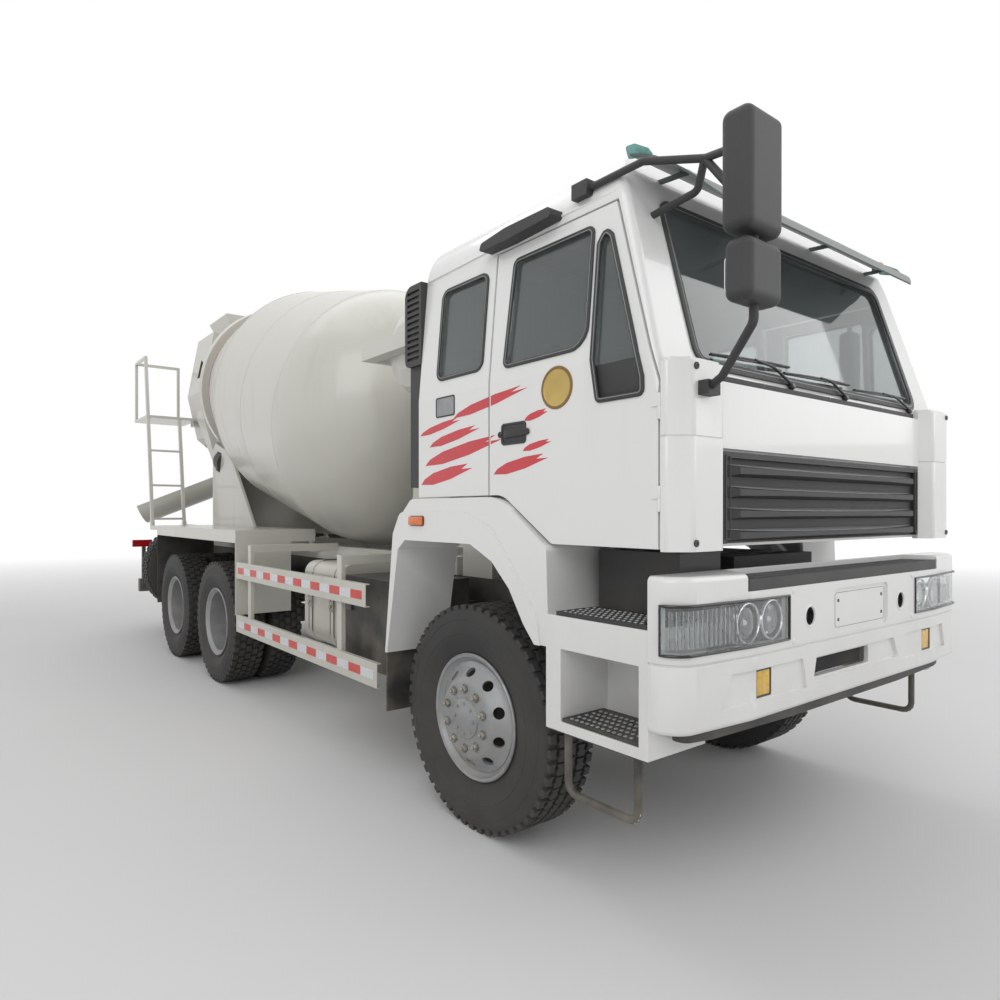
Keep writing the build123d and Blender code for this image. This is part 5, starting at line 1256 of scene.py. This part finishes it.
def bumper_and_lamps():
    both(lamp_house, "lamp_house", "chassis", "lamp_clear", CHROME, stands_for=("front_lamps",))
    both(lamp_rings, "lamp_rings", "chassis", "lamp_clear", CHROME)
    both(lamp_lenses, "lamp_lenses", "chassis", "lamp_clear")
    both(lambda n: nose_sheet(n, 0.004, 0.003, LAMP_INNER, LAMP_LOW, LAMP_HIGH), "lamp_cover", "chassis",
         "lamp_clear")
    both(lamp_bezel, "lamp_bezel", "chassis", "dark_plastic", BLACK_GLOSS)
    both(fog_lamp, "fog_lamp", "chassis", "lamp_clear", FOG_YELLOW)
    both(fog_frame, "fog_frame", "chassis", "dark_plastic")
    both(socket_lip, "socket_lip", "chassis", "cab_white")
    # Painted shade: the socket's cup is coloured near-black to darken its recess.
    both(socket_cup, "socket_cup", "chassis", "dark_plastic", PAINTED_SHADE_BLACK)
    both(nose_caps, "nose_caps", "chassis", "cab_white")
    fit(air_mesh(), "chassis", "dark_plastic")
    fit(step_pads(), "chassis", "dark_plastic", PAD_GREY)
    # Painted shade: a grey line laid round the plate stands for the shade in its groove.
    groove = rounded([(-0.205, 1.048), (0.265, 1.048), (0.265, 1.194), (-0.205, 1.194)], 0.016, 4)
    fit(ribbon("plate_groove_shade", groove, 0.0022, on_front(1.2418), 0.0012, 0.0004), "chassis", "dark_plastic",
        SEAL_LINE_AND_GROOVE_SHADE)
    for index, (y, z) in enumerate(((-0.175, 1.16), (0.235, 1.16), (-0.175, 1.08), (0.235, 1.08))):
        hole = lathe(f"plate_hole_{index}", [(0.0035, 0), (0.0075, 0), (0.0070, 0.0018), (0.0040, 0.0018)],
                     at(1.2418, y, z), AXIS_X, AXIS_Z, steps=16, ring=True)
        fit(hole, "chassis", "dark_plastic")


# ------------------------------------------------------------------ grille and screen
SLAT_ROWS = tuple(1.412 + 0.0812 * (0.35 + i) for i in range(4))


def slat_highlight_strips():
    """Painted highlights: satin grey strips on the sloping upper faces of the black bars, where light falls,
    pointed at both ends.
    """
    strips = []
    slope = Vector((0.050, 0, -0.017)).normalized()
    for z in SLAT_ROWS:
        def lay(y, along, height):
            place = at(1.1375, y, z + 0.0245) + slope * along
            return place + Vector((0.322, 0, 0.947)) * height
        edge = [(-0.822, 0.004), (-0.700, 0.020), (-0.480, 0.036), (-0.15, 0.0410), (0.15, 0.0410),
                (0.480, 0.036),
                (0.700, 0.020), (0.822, 0.004), (0.40, 0.007), (0.0, 0.004), (-0.40, 0.007)]
        strips.append(plate("slat_highlight_strip", edge, lay, -0.001, 0.0016, 0.0006, 1))
    return joined("slat_highlight_strips", strips)


def corner_duct(name):
    """Frame round the louvred corner duct below the fairing."""
    frame_edge = rounded([(-0.872, 1.426), (-0.836, 1.426), (-0.836, 1.742), (-0.872, 1.742)], 0.008, 3)
    pieces = [ribbon(name, frame_edge, 0.006, on_front(1.1592), 0.003, 0.001)]
    return joined(name, pieces)


def wiper(name, pivot, elbow, blade_from, blade_to):
    """Arm from its pivot to a blade that lies on the glass."""
    def glass(y, z, height=0.0):
        return on_screen(y, z, height)
    cap = lathe(name + "_cap", [(0, 0), (0.017, 0), (0.016, 0.012), (0.010, 0.018), (0, 0.019)],
                glass(*pivot, 0.004), SCREEN_OUT, AXIS_Y, steps=20)
    arm = tube(name + "_arm", [glass(*pivot, 0.016), glass(*elbow, 0.024),
                               glass((blade_from[0] + blade_to[0]) / 2, (blade_from[1] + blade_to[1]) / 2,
                                     0.020)],
               0.0055, bend=0.03)
    spine = tube(name + "_spine", [glass(*blade_from, 0.010), glass((0.7 * blade_from[0] + 0.3 * blade_to[0]),
                                                                    (0.7 * blade_from[1] + 0.3 * blade_to[1]),
                                                                            0.017),
                                   glass((0.3 * blade_from[0] + 0.7 * blade_to[0]),
                                         (0.3 * blade_from[1] + 0.7 * blade_to[1]), 0.017),
                                         glass(*blade_to, 0.010)],
                 0.0045, bend=0.04)
    lip = tube(name + "_lip", [glass(*blade_from, 0.003), glass(*blade_to, 0.003)], 0.0042)
    return joined(name, [cap, arm, spine, lip])


def screen_fittings():
    jobs = (("wiper_1", (0.860, 2.052), (0.70, 2.105), (0.86, 2.118), (0.28, 2.104)),
            ("wiper_2", (0.150, 2.052), (0.02, 2.112), (0.24, 2.122), (-0.36, 2.108)),
            ("wiper_3", (-0.330, 2.052), (-0.46, 2.112), (-0.30, 2.140), (-0.88, 2.118)))
    for name, *places in jobs:
        fit(wiper(name, *places), "cab", "dark_plastic", BLACK_GLOSS)
    jets = [lathe("jet", [(0, 0), (0.010, 0), (0.009, 0.008), (0.004, 0.012), (0, 0.012)],
                  at(1.118, y, 2.033),
                  AXIS_X, AXIS_Z, steps=16) for y in (-0.55, 0.0, 0.52)]
    fit(joined("washer_jets", jets), "cab", "dark_plastic", BLACK_GLOSS)
    cowl = slab("cowl_strip", [at(1.1235, y, z) for y, z in ((-0.90, 2.012), (0.90, 2.012), (0.93, 2.040),
            (-0.93, 2.040))],
                (0.006, 0, 0), soft=0.0015)
    fit(cowl, "cab", "dark_plastic")
    screw = [(0, 0), (0.013, 0), (0.012, 0.005), (0.004, 0.0055), (0.0035, 0.003), (0, 0.003)]
    both(lambda n: lathe(n, screw, at(1.2045, -1.120, 2.030), AXIS_X, AXIS_Z, steps=20), "fairing_screw",
         "cab",
         "dark_plastic")
    both(lambda n: lathe(n, screw, at(1.2045, -1.120, 1.422), AXIS_X, AXIS_Z, steps=20), "fairing_screw_low",
         "cab",
         "dark_plastic")


bumper_and_lamps()
# The grey strips on the slats are painted highlights, not a grey finish of the grille.
fit(slat_highlight_strips(), "cab", "dark_plastic", SLAT_HIGHLIGHT)
both(corner_duct, "corner_duct", "cab", "dark_plastic")
screen_fittings()


# ------------------------------------------------------------------ steps, guards and fender
def on_guard(x, z, height):
    return at(x, -1.245 - height, z)


TAPES = ((-2.960, -0.890, 1.0475, 15, 0), (-2.960, -0.760, 0.610, 15, 1))


def guard_tapes(name, shade):
    """Every second length of tape; shade 0 takes the red ones and 1 the white ones."""
    pieces = []
    for x0, x1, z, count, first in TAPES:
        step = (x1 - x0) / count
        for i in range((shade + first) % 2, count, 2):
            edge = [(x0 + step * i, z - 0.026), (x0 + step * (i + 1) - 0.0006, z - 0.026),
                    (x0 + step * (i + 1) - 0.0006, z + 0.026), (x0 + step * i, z + 0.026)]
            pieces.append(plate(name, edge, on_guard, -0.0003, 0.0009, 0.0003, 1))
    return joined(name, pieces)


def loop_sleeve(name):
    """Dark tube of the fold-down step."""
    return tube(name, [at(x, -1.190, z) for x, z in ((0.680, 0.664), (0.680, 0.415), (1.020, 0.415),
            (1.020, 0.664))],
                0.0155, bend=0.045, round_steps=3)


# treads: rear and front end, top, and rows of holes
TREADS = ((0.675, 1.070, 1.136, 5), (0.708, 1.034, 0.719, 5))
HOLE_STEP = 0.026
ROW_STEP = 0.042


def tread_rows(name, profile, ring=False):
    """A turned shape repeated along and across both tread plates."""
    plates = []
    for rear, front, top, rows in TREADS:
        seed = lathe(name, profile, at(rear + 0.010, -1.210, top), AXIS_Z, AXIS_X, steps=10, ring=ring)
        edit(seed)
        for _ in range(int((front - rear) / HOLE_STEP) - 1):
            bpy.ops.mesh.duplicate_move(TRANSFORM_OT_translate={"value": (HOLE_STEP, 0, 0)})
        bpy.ops.mesh.select_all(action="SELECT")
        for _ in range(rows - 1):
            bpy.ops.mesh.duplicate_move(TRANSFORM_OT_translate={"value": (0.0, ROW_STEP, 0)})
        let_go()
        plates.append(seed)
    return joined(name, plates)


def tread_studs(name):
    """Raised rings pressed into the tread plates, round the holes, whose shade is painted as black discs."""
    return tread_rows(name, [(0.0048, -0.001), (0.0092, -0.001), (0.0075, 0.0022), (0.0060, 0.0022)],
                      ring=True)


def tread_hole_shade(name):
    """Painted shade of the holes: flat black discs inside the rings, with no opening cut."""
    return tread_rows(name, [(0, -0.0004), (0.0050, -0.0004), (0.0050, 0.0005), (0, 0.0005)])


def steps_and_guards():
    both(lambda n: guard_tapes(n, 0), "tape_red", "chassis", "mixer_cream", TAPE_RED)
    both(lambda n: guard_tapes(n, 1), "tape_white", "chassis", "mixer_cream", TAPE_WHITE)
    both(loop_sleeve, "loop_sleeve", "chassis", "chassis_black")
    both(tread_studs, "tread_studs", "chassis", "dark_plastic", STEEL_GREY)
    # Painted shade: black discs stand for the shadow inside the tread holes.
    both(tread_hole_shade, "tread_hole_shade", "chassis", "dark_plastic", PAINTED_SHADE_BLACK)
    both(lambda n: brick(n, at(0.612, -1.236, 0.659), at(1.092, -1.180, 0.666), 0.003), "step_strip",
         "chassis",
         "dark_plastic")
    lamp = rounded([(-0.385, 1.462), (-0.265, 1.462), (-0.265, 1.506), (-0.385, 1.506)], 0.008, 3)
    side_face = lambda x, z, height: at(x, -1.240 - height, z)
    both(lambda n: plate(n, lamp, side_face, 0.002, 0.018, 0.006, 3), "fender_lamp", "chassis", "lamp_red",
         AMBER)
    both(lambda n: plate(n, band(lamp, -0.004), side_face, -0.001, 0.003, 0.001), "fender_lamp_base",
         "chassis",
         "dark_plastic")


# ------------------------------------------------------------------ cab top: visor, its lamp and mirrors
def mirror_glass():
    """Silvered faces of the mirrors, each in its head's rear side."""
    def back(x):
        return lambda y, z, height: at(x - height, y, z)
    big = rounded([(-1.268, 2.410), (-1.132, 2.410), (-1.132, 2.700), (-1.268, 2.700)], 0.022, 4)
    small = rounded([(-1.268, 2.196), (-1.132, 2.196), (-1.132, 2.314), (-1.268, 2.314)], 0.022, 4)
    glasses = [plate("mirror_glass_right", big, back(1.400), -0.002, 0.0006, 0.0005),
               plate("mirror_glass_small", small, back(1.400), -0.002, 0.0006, 0.0005)]
    fit(joined("mirror_glass_right", glasses), "cab", "dark_plastic", MIRROR)
    left = rounded([(1.246, 2.290), (1.306, 2.290), (1.306, 2.580), (1.246, 2.580)], 0.016, 4)
    fit(plate("mirror_glass_left", left, back(0.610), -0.002, 0.0006, 0.0005), "left_door", "dark_plastic",
        MIRROR)


def visor_rivets(name):
    """Bolts that hold the visor to its arms."""
    pieces = []
    for y in (-0.900, -0.300):
        pieces.append(hex_head(name, at(0.975, y, 2.8535), Vector((0.387, 0, 0.922)).normalized(), 0.018,
                               0.009))
    return joined(name, pieces)


def visor_fin(name):
    """Tinted fin that stands up at the end of the sun visor."""
    outline = rounded([(0.895, 2.872), (1.016, 2.830), (0.985, 2.876), (0.925, 2.918), (0.880, 2.926)], 0.008,
                      4)
    return plate(name, outline, lambda u, v, h: at(u, -1.088 - h, v), 0.0, 0.006, 0.0012)


def visor_lamp(name):
    base = lathe(name, [(0, 0), (0.030, 0), (0.030, 0.012), (0, 0.012)], at(0.930, 0.985, 2.868), AXIS_Z,
                 AXIS_X,
                 steps=24)
    return base


def visor_dome(name):
    return lathe(name, [(0, 0.012), (0.027, 0.012), (0.026, 0.028), (0.018, 0.036), (0, 0.038)],
                 at(0.930, 0.985, 2.868), AXIS_Z, AXIS_X, steps=24)


def cab_top():
    mirror_glass()
    both(visor_rivets, "visor_bolts", "cab", "smoked_plastic", STEEL)
    both(visor_fin, "visor_fin", "cab", "lamp_clear", VISOR_GREEN)
    fit(visor_lamp("visor_lamp_base"), "cab", "dark_plastic")
    fit(visor_dome("visor_lamp_dome"), "cab", "lamp_clear", AMBER)


# ------------------------------------------------------------------ drum and its frame
SLOPE = math.radians(14.0)
DRUM_AT, DRUM_LINE = at(-1.700, 0.0, 2.112), Vector((-math.cos(SLOPE), 0.0, math.sin(SLOPE)))


def drum_ring(name, profile):
    """Ring on the drum; profile in (radius, along)."""
    return lathe(name, profile, DRUM_AT, DRUM_LINE, AXIS_Y, steps=96, ring=True)


def shell_radius(along):
    knots = ((0.9, 1.105), (2.38, 1.105), (3.29, 0.8725), (4.2, 0.62))
    for (a, ra), (b, rb) in zip(knots, knots[1:]):
        if along <= b:
            return ra + (rb - ra) * (along - a) / (b - a)
    return knots[-1][1]


def weld_bead(name, along):
    r = shell_radius(along)
    return drum_ring(name, [(r - 0.003, along - 0.009), (r - 0.003, along + 0.009),
                            (r + 0.0022, along + 0.005),
                            (r + 0.0034, along), (r + 0.0022, along - 0.005)])


def drum_details():
    beads = joined("drum_welds", [weld_bead("weld", a) for a in (0.905, 1.64, 2.378, 2.86, 3.29)])
    fit(beads, "mixing_drum", "mixer_cream")
    r = shell_radius(3.36)
    line = drum_ring("drum_line", [(r - 0.004, 3.345), (r - 0.004 - 0.008, 3.375), (r + 0.0022, 3.375),
                                   (r + 0.010, 3.345)])
    fit(line, "mixing_drum", "mixer_cream", DARK_RED)
    bolt = hex_head("flange_bolt", DRUM_AT + AXIS_Y * 0.280, -DRUM_LINE, 0.026, 0.014)
    fit(around(bolt, 16, DRUM_AT, DRUM_LINE), "mixing_drum", "mixer_cream", STEEL)


def tank_details():
    """Caps, bands and fittings of the water and fuel tanks."""
    for index, y in enumerate((-0.55, 0.55)):
        r = 0.2845
        band_ring = lathe(f"water_band_{index}", [(r - 0.002, y - 0.03), (r - 0.002, y + 0.03),
                                                  (r + 0.003, y + 0.03),
                                                  (r + 0.003, y - 0.03)], at(-0.850, 0, 2.520), AXIS_Y,
                                                  AXIS_Z, steps=64,
                          ring=True)
        fit(band_ring, "chassis", "mixer_cream")
    seam = lathe("water_seam", [(0.282, -0.854), (0.286, -0.852), (0.286, -0.846), (0.282, -0.844)],
                 at(-0.850, 0, 2.520), AXIS_Y, AXIS_Z, steps=64, ring=True)
    fit(mirrored(seam, "water_seam_left"), "chassis", "mixer_cream")
    fit(seam, "chassis", "mixer_cream")
    cap = lathe("fuel_cap", [(0, 0), (0.052, 0), (0.052, 0.006), (0.044, 0.008), (0.044, 0.030),
                             (0.040, 0.036),
                             (0, 0.036)], at(-1.700, -0.850, 1.1800), AXIS_Z, AXIS_X, steps=36)
    fit(cap, "chassis", "dark_plastic")
    edges = []
    for x in (-1.890, -1.560):
        for dx in (-0.0255, 0.0255):
            edges.append(tube("strap_edge", [at(x + dx, -0.52, 1.1865), at(x + dx, -1.006, 1.1865),
                                             at(x + dx, -1.0965, 1.095), at(x + dx, -1.0965, 0.695),
                                             at(x + dx, -1.006, 0.6035), at(x + dx, -0.52, 0.6035)], 0.0032,
                                             bend=0.02))
    fit(joined("strap_edges", edges), "chassis", "chassis_black")
    buckle = [brick("buckle", at(x - 0.030, -1.106, 0.86), at(x + 0.030, -1.094, 0.93), 0.003)
              for x in (-1.890, -1.560)]
    buckle += [hex_head("buckle_bolt", at(x, -1.106, 0.895), -AXIS_Y, 0.020, 0.012) for x in (-1.890, -1.560)]
    fit(joined("strap_buckles", buckle), "chassis", "chassis_black", STEEL)
    fit(brick("tank_grey_box", at(-1.400, -1.095, 0.90), at(-1.300, -1.0805, 1.05), 0.004), "chassis",
        "dark_plastic",
        PAD_GREY)
    hoses = [tube("hose", [at(-1.46, -0.70, 1.195), at(-1.43, -0.72, 1.24), at(-1.36, -0.66, 1.25),
                           at(-1.30, -0.52, 1.20),
                           at(-1.30, -0.445, 1.16)], 0.011, bend=0.03),
             tube("hose", [at(-1.62, -0.62, 1.180), at(-1.60, -0.62, 1.215), at(-1.52, -0.56, 1.225),
                           at(-1.44, -0.50, 1.20), at(-1.40, -0.440, 1.15)], 0.008, bend=0.03)]
    fit(joined("tank_hoses", hoses), "chassis", "flap_rubber")


def flap_edges(name):
    """Pale weighted strip along the lower edge of the rear flap."""
    return brick(name, at(-5.6335, -1.236, 0.506), at(-5.6275, -0.624, 0.530), 0.0015)


def tail_details():
    both(flap_edges, "flap_edge", "chassis", "flap_rubber", WHITE_PLASTIC)
    both(lambda n: joined(n, [hex_head(n, at(-5.6285, -y, 1.255), -AXIS_X, 0.020, 0.010) for y in
                              (0.70, 0.93, 1.16)]), "flap_bolts", "chassis", "flap_rubber", STEEL)
    def rear(x):
        return lambda y, z, height: at(x - height, y, z)
    both(lambda n: plate(n, rounded([(-1.236, 1.084), (-1.004, 1.084), (-1.004, 1.166), (-1.236, 1.166)],
                                    0.012, 3),
                         rear(-6.9445), -0.001, 0.012, 0.005, 2), "tail_lens", "chassis", "lamp_red")
    both(lambda n: plate(n, rounded([(-1.230, 1.090), (-1.165, 1.090), (-1.165, 1.160), (-1.230, 1.160)],
                                    0.008, 3),
                         rear(-6.9560), -0.001, 0.004, 0.002, 2), "tail_amber", "chassis", "lamp_red", AMBER)
    both(lambda n: plate(n, rounded([(-1.074, 1.090), (-1.010, 1.090), (-1.010, 1.160), (-1.074, 1.160)],
                                    0.008, 3),
                         rear(-6.9560), -0.001, 0.004, 0.002, 2), "tail_clear", "chassis", "lamp_red",
                         TAPE_WHITE)


steps_and_guards()
cab_top()
drum_details()
tank_details()
tail_details()


# ------------------------------------------------------------------ seats and dash
def cushion(name, low, high, corner, seams, reach=0.022):
    """Padded cloth: a rounded block, swollen by pressure, then drawn in along its seams."""
    piece = brick(name, low, high, corner, 4)
    tool = piece.modifiers.new("voxels", "REMESH")
    tool.mode, tool.voxel_size = "VOXEL", 0.009
    pick(piece)
    bpy.ops.object.modifier_apply(modifier=tool.name)
    start = [vert.co.copy() for vert in piece.data.vertices]
    scene = bpy.context.scene
    swell = piece.modifiers.new("swell", "CLOTH")
    swell.settings.use_pressure = True
    swell.settings.uniform_pressure_force = 4.0
    swell.settings.effector_weights.gravity = 0.0
    swell.point_cache.frame_start, swell.point_cache.frame_end = 1, 20
    for step in range(1, 21):
        scene.frame_set(step)
    pick(piece)
    bpy.ops.object.modifier_apply(modifier=swell.name)
    for vert, place in zip(piece.data.vertices, start):
        move = vert.co - place
        if move.length > reach:
            vert.co = place + move * (reach / move.length)
    scene.frame_set(1)
    for axis, where, width, depth in seams:
        edit(piece)
        pick_parts(piece, "verts", lambda vert: abs(vert.co[axis] - where) < width)
        bpy.ops.transform.shrink_fatten(value=-depth)
        let_go()
    crown = piece.modifiers.new("crown", "SUBSURF")
    crown.levels = crown.render_levels = 1
    pick(piece)
    bpy.ops.object.modifier_apply(modifier=crown.name)
    return piece


def seat_cushion(name):
    return cushion(name, at(0.135, -0.835, 1.705), at(0.590, -0.355, 1.790), 0.034,
                   ((1, -0.500, 0.006, 0.006), (1, -0.690, 0.006, 0.006), (2, 1.728, 0.006, 0.005)))


def lean_back(piece):
    edit(piece)
    bpy.ops.transform.rotate(value=math.radians(7.0), orient_axis="Y", center_override=at(0.140, 0, 1.80))
    let_go()
    if max(vert.co.x for vert in piece.data.vertices if vert.co.z > 2.15) > at(0.20, 0, 0).x:
        edit(piece)
        bpy.ops.transform.rotate(value=math.radians(-14.0), orient_axis="Y",
                                 center_override=at(0.140, 0, 1.80))
        let_go()
    return piece


def seat_back(name):
    return lean_back(cushion(name, at(0.085, -0.830, 1.825), at(0.170, -0.360, 2.255), 0.036,
                             ((1, -0.480, 0.006, 0.006), (1, -0.710, 0.006, 0.006),
                              (2, 2.060, 0.006, 0.006))))


def head_rest(name):
    return lean_back(cushion(name, at(0.090, -0.715, 2.290), at(0.165, -0.475, 2.398), 0.034,
                             ((1, -0.595, 0.004, 0.003),), 0.010))


def seat_base(name):
    """Plinth, folded bellows and the plate below the cushion."""
    pieces = [brick(name, at(0.180, -0.790, 1.616), at(0.520, -0.400, 1.640), 0.006)]
    pieces += [brick(name, at(0.195 + d, -0.775 + d, 1.638 + 0.014 * i),
                     at(0.505 - d, -0.415 - d, 1.651 + 0.014 * i),
                     0.005) for i, d in enumerate((0.0, 0.012, 0.0))]
    pieces.append(brick(name, at(0.130, -0.830, 1.680), at(0.580, -0.360, 1.696), 0.005))
    pieces.append(tube(name, [at(0.10, -0.845, 1.74), at(0.10, -0.845, 1.70), at(0.22, -0.845, 1.695)], 0.010,
                       bend=0.02))
    return joined(name, pieces)


def seats():
    both(seat_base, "seat_base", "cab", "dark_plastic", stands_for=())
    for make, name, fill in ((seat_cushion, "seat_cushion", 0.8), (seat_back, "seat_back", 0.7),
                             (head_rest, "head_rest", 0.8)):
        right = make(name + "_right")
        left = mirrored(right, name + "_left")
        for piece in (right, left):
            fit(piece, "cab", "seat_fabric", smooth=60,
                stands_for=("seats",) if name == "seat_cushion" and piece is right else ())


def dash_details():
    """Instrument hood, dials and vents on the dash."""
    hood = slab("hood", [at(0.815, y, z) for y, z in ((0.36, 1.992), (0.84, 1.992), (0.81, 2.058),
            (0.74, 2.082),
                                                      (0.46, 2.082), (0.39, 2.058))], (0.17, 0, 0),
                                                              soft=0.010)
    fit(hood, "cab", "dark_plastic")
    dials = [lathe("dial", [(0, 0), (r, 0), (r, 0.004), (r - 0.006, 0.004), (r - 0.008, 0.0015), (0, 0.0015)],
                   at(0.8145, y, 2.035), -AXIS_X, AXIS_Z, steps=28)
                   for y, r in ((0.50, 0.030), (0.60, 0.034), (0.70, 0.030))]
    fit(joined("dials", dials), "cab", "dark_plastic", BLACK_GLOSS)
    vents = []
    for y in (-0.90, -0.30, 0.18, 0.94):
        def face(u, v, height):
            return at(0.7985 - height, u, v)
        vents.append(ribbon("vent", rounded([(y - 0.07, 1.815), (y + 0.07, 1.815), (y + 0.07, 1.885),
                                             (y - 0.07, 1.885)],
                                            0.010, 3), 0.006, face, 0.006, 0.001))
        for z in (1.829, 1.842, 1.855, 1.868):
            vents.append(brick("vent_bar", at(0.7940, y - 0.066, z), at(0.7990, y + 0.066, z + 0.004), 0.0012,
                               1))
    fit(joined("vents", vents), "cab", "dark_plastic", BLACK_GLOSS)


def soften(node, width, angle=38.0):
    """Small rounding on the edges of a solid of the frame."""
    obj = frame["nodes"][node]
    weld = obj.modifiers.new("weld", "WELD")
    weld.merge_threshold = 0.00002
    edge = obj.modifiers.new("edges", "BEVEL")
    edge.width, edge.segments, edge.limit_method = width, 2, "ANGLE"
    edge.angle_limit = math.radians(angle)
    edge.harden_normals = False
    edge.use_clamp_overlap = True


SOFT_EDGES = (("bumper", 0.004), ("cab_shell", 0.003), ("front_panels", 0.004), ("fenders", 0.003),
              ("steps", 0.003),
              ("door_right", 0.002), ("door_left", 0.002), ("rear_deck", 0.003), ("side_guards", 0.002),
              ("hopper", 0.002), ("rear_pedestal", 0.003), ("ladder", 0.002), ("side_boxes", 0.004))

seats()
dash_details()
for node, width in SOFT_EDGES:
    soften(node, width)




# ------------------------------------------------------------------ studio
def studio():
    floor_finish = Finish("floor", (0.80, 0.80, 0.80), 0.9)
    floor_finish.mottle((0.78, 0.78, 0.78), 0.3)
    place = add(floor_finish.tree, "TexCoord")
    reach = add(floor_finish.tree, "VectorMath", operation="LENGTH")
    floor_finish.tree.links.new(place.outputs["Object"], reach.inputs[0])
    far = remap(floor_finish.tree, reach.outputs["Value"], 6.0, 22.0)
    floor_finish.over(far, (0.0, 0.0, 0.0))
    floor_finish.shader.inputs["Emission Color"].default_value = (1.0, 1.0, 1.0, 1.0)
    floor_finish.tree.links.new(far, floor_finish.shader.inputs["Emission Strength"])
    bpy.ops.object.select_all(action="DESELECT")
    bpy.ops.mesh.primitive_circle_add(vertices=96, radius=60, fill_type="NGON", location=(0, 0, 0))
    floor = bpy.context.object
    floor.name = "studio_floor"
    floor.data.materials.append(floor_finish.done())
    world = bpy.data.worlds.new("studio")
    bpy.context.scene.world = world
    world.use_nodes = True
    tree = world.node_tree
    back = tree.nodes["Background"]
    rays = add(tree, "LightPath")
    seen = maths(tree, "MAXIMUM", rays.outputs["Is Camera Ray"], rays.outputs["Is Glossy Ray"])
    seen = maths(tree, "MAXIMUM", seen, rays.outputs["Is Transmission Ray"])
    tree.links.new(remap(tree, seen, 0.0, 1.0, 0.50, 1.0), back.inputs["Strength"])
    back.inputs["Color"].default_value = (1.0, 1.0, 1.0, 1.0)
    for name, place, aim, size, power in (("key", (9, -10, 9), (0, 0, 1.5), 9, 520),
                                          ("fill", (10, 8, 7), (1, 0, 1.5), 9, 300),
                                          ("top", (-2, 0, 11), (-2, 0, 0), 10, 260)):
        light = bpy.data.lights.new(name, "AREA")
        light.size, light.energy = size, power
        lamp = bpy.data.objects.new(name, light)
        bpy.context.scene.collection.objects.link(lamp)
        lamp.location = place
        lamp.rotation_euler = (Vector(aim) - Vector(place)).to_track_quat("-Z", "Y").to_euler()


def camera():
    data = bpy.data.cameras.new("camera")
    data.sensor_width = 36.0
    data.lens = 24.71
    data.shift_x, data.shift_y = 0.062, 0.0135
    data.clip_end = 200.0
    view = bpy.data.objects.new("camera", data)
    bpy.context.scene.collection.objects.link(view)
    view.location = (5.532, -3.204, 1.529)
    view.rotation_euler = Vector((-0.812, 0.583, -0.002)).to_track_quat("-Z", "Y").to_euler()
    bpy.context.scene.camera = view


studio()
camera()
bpy.context.scene.view_settings.view_transform = "Standard"
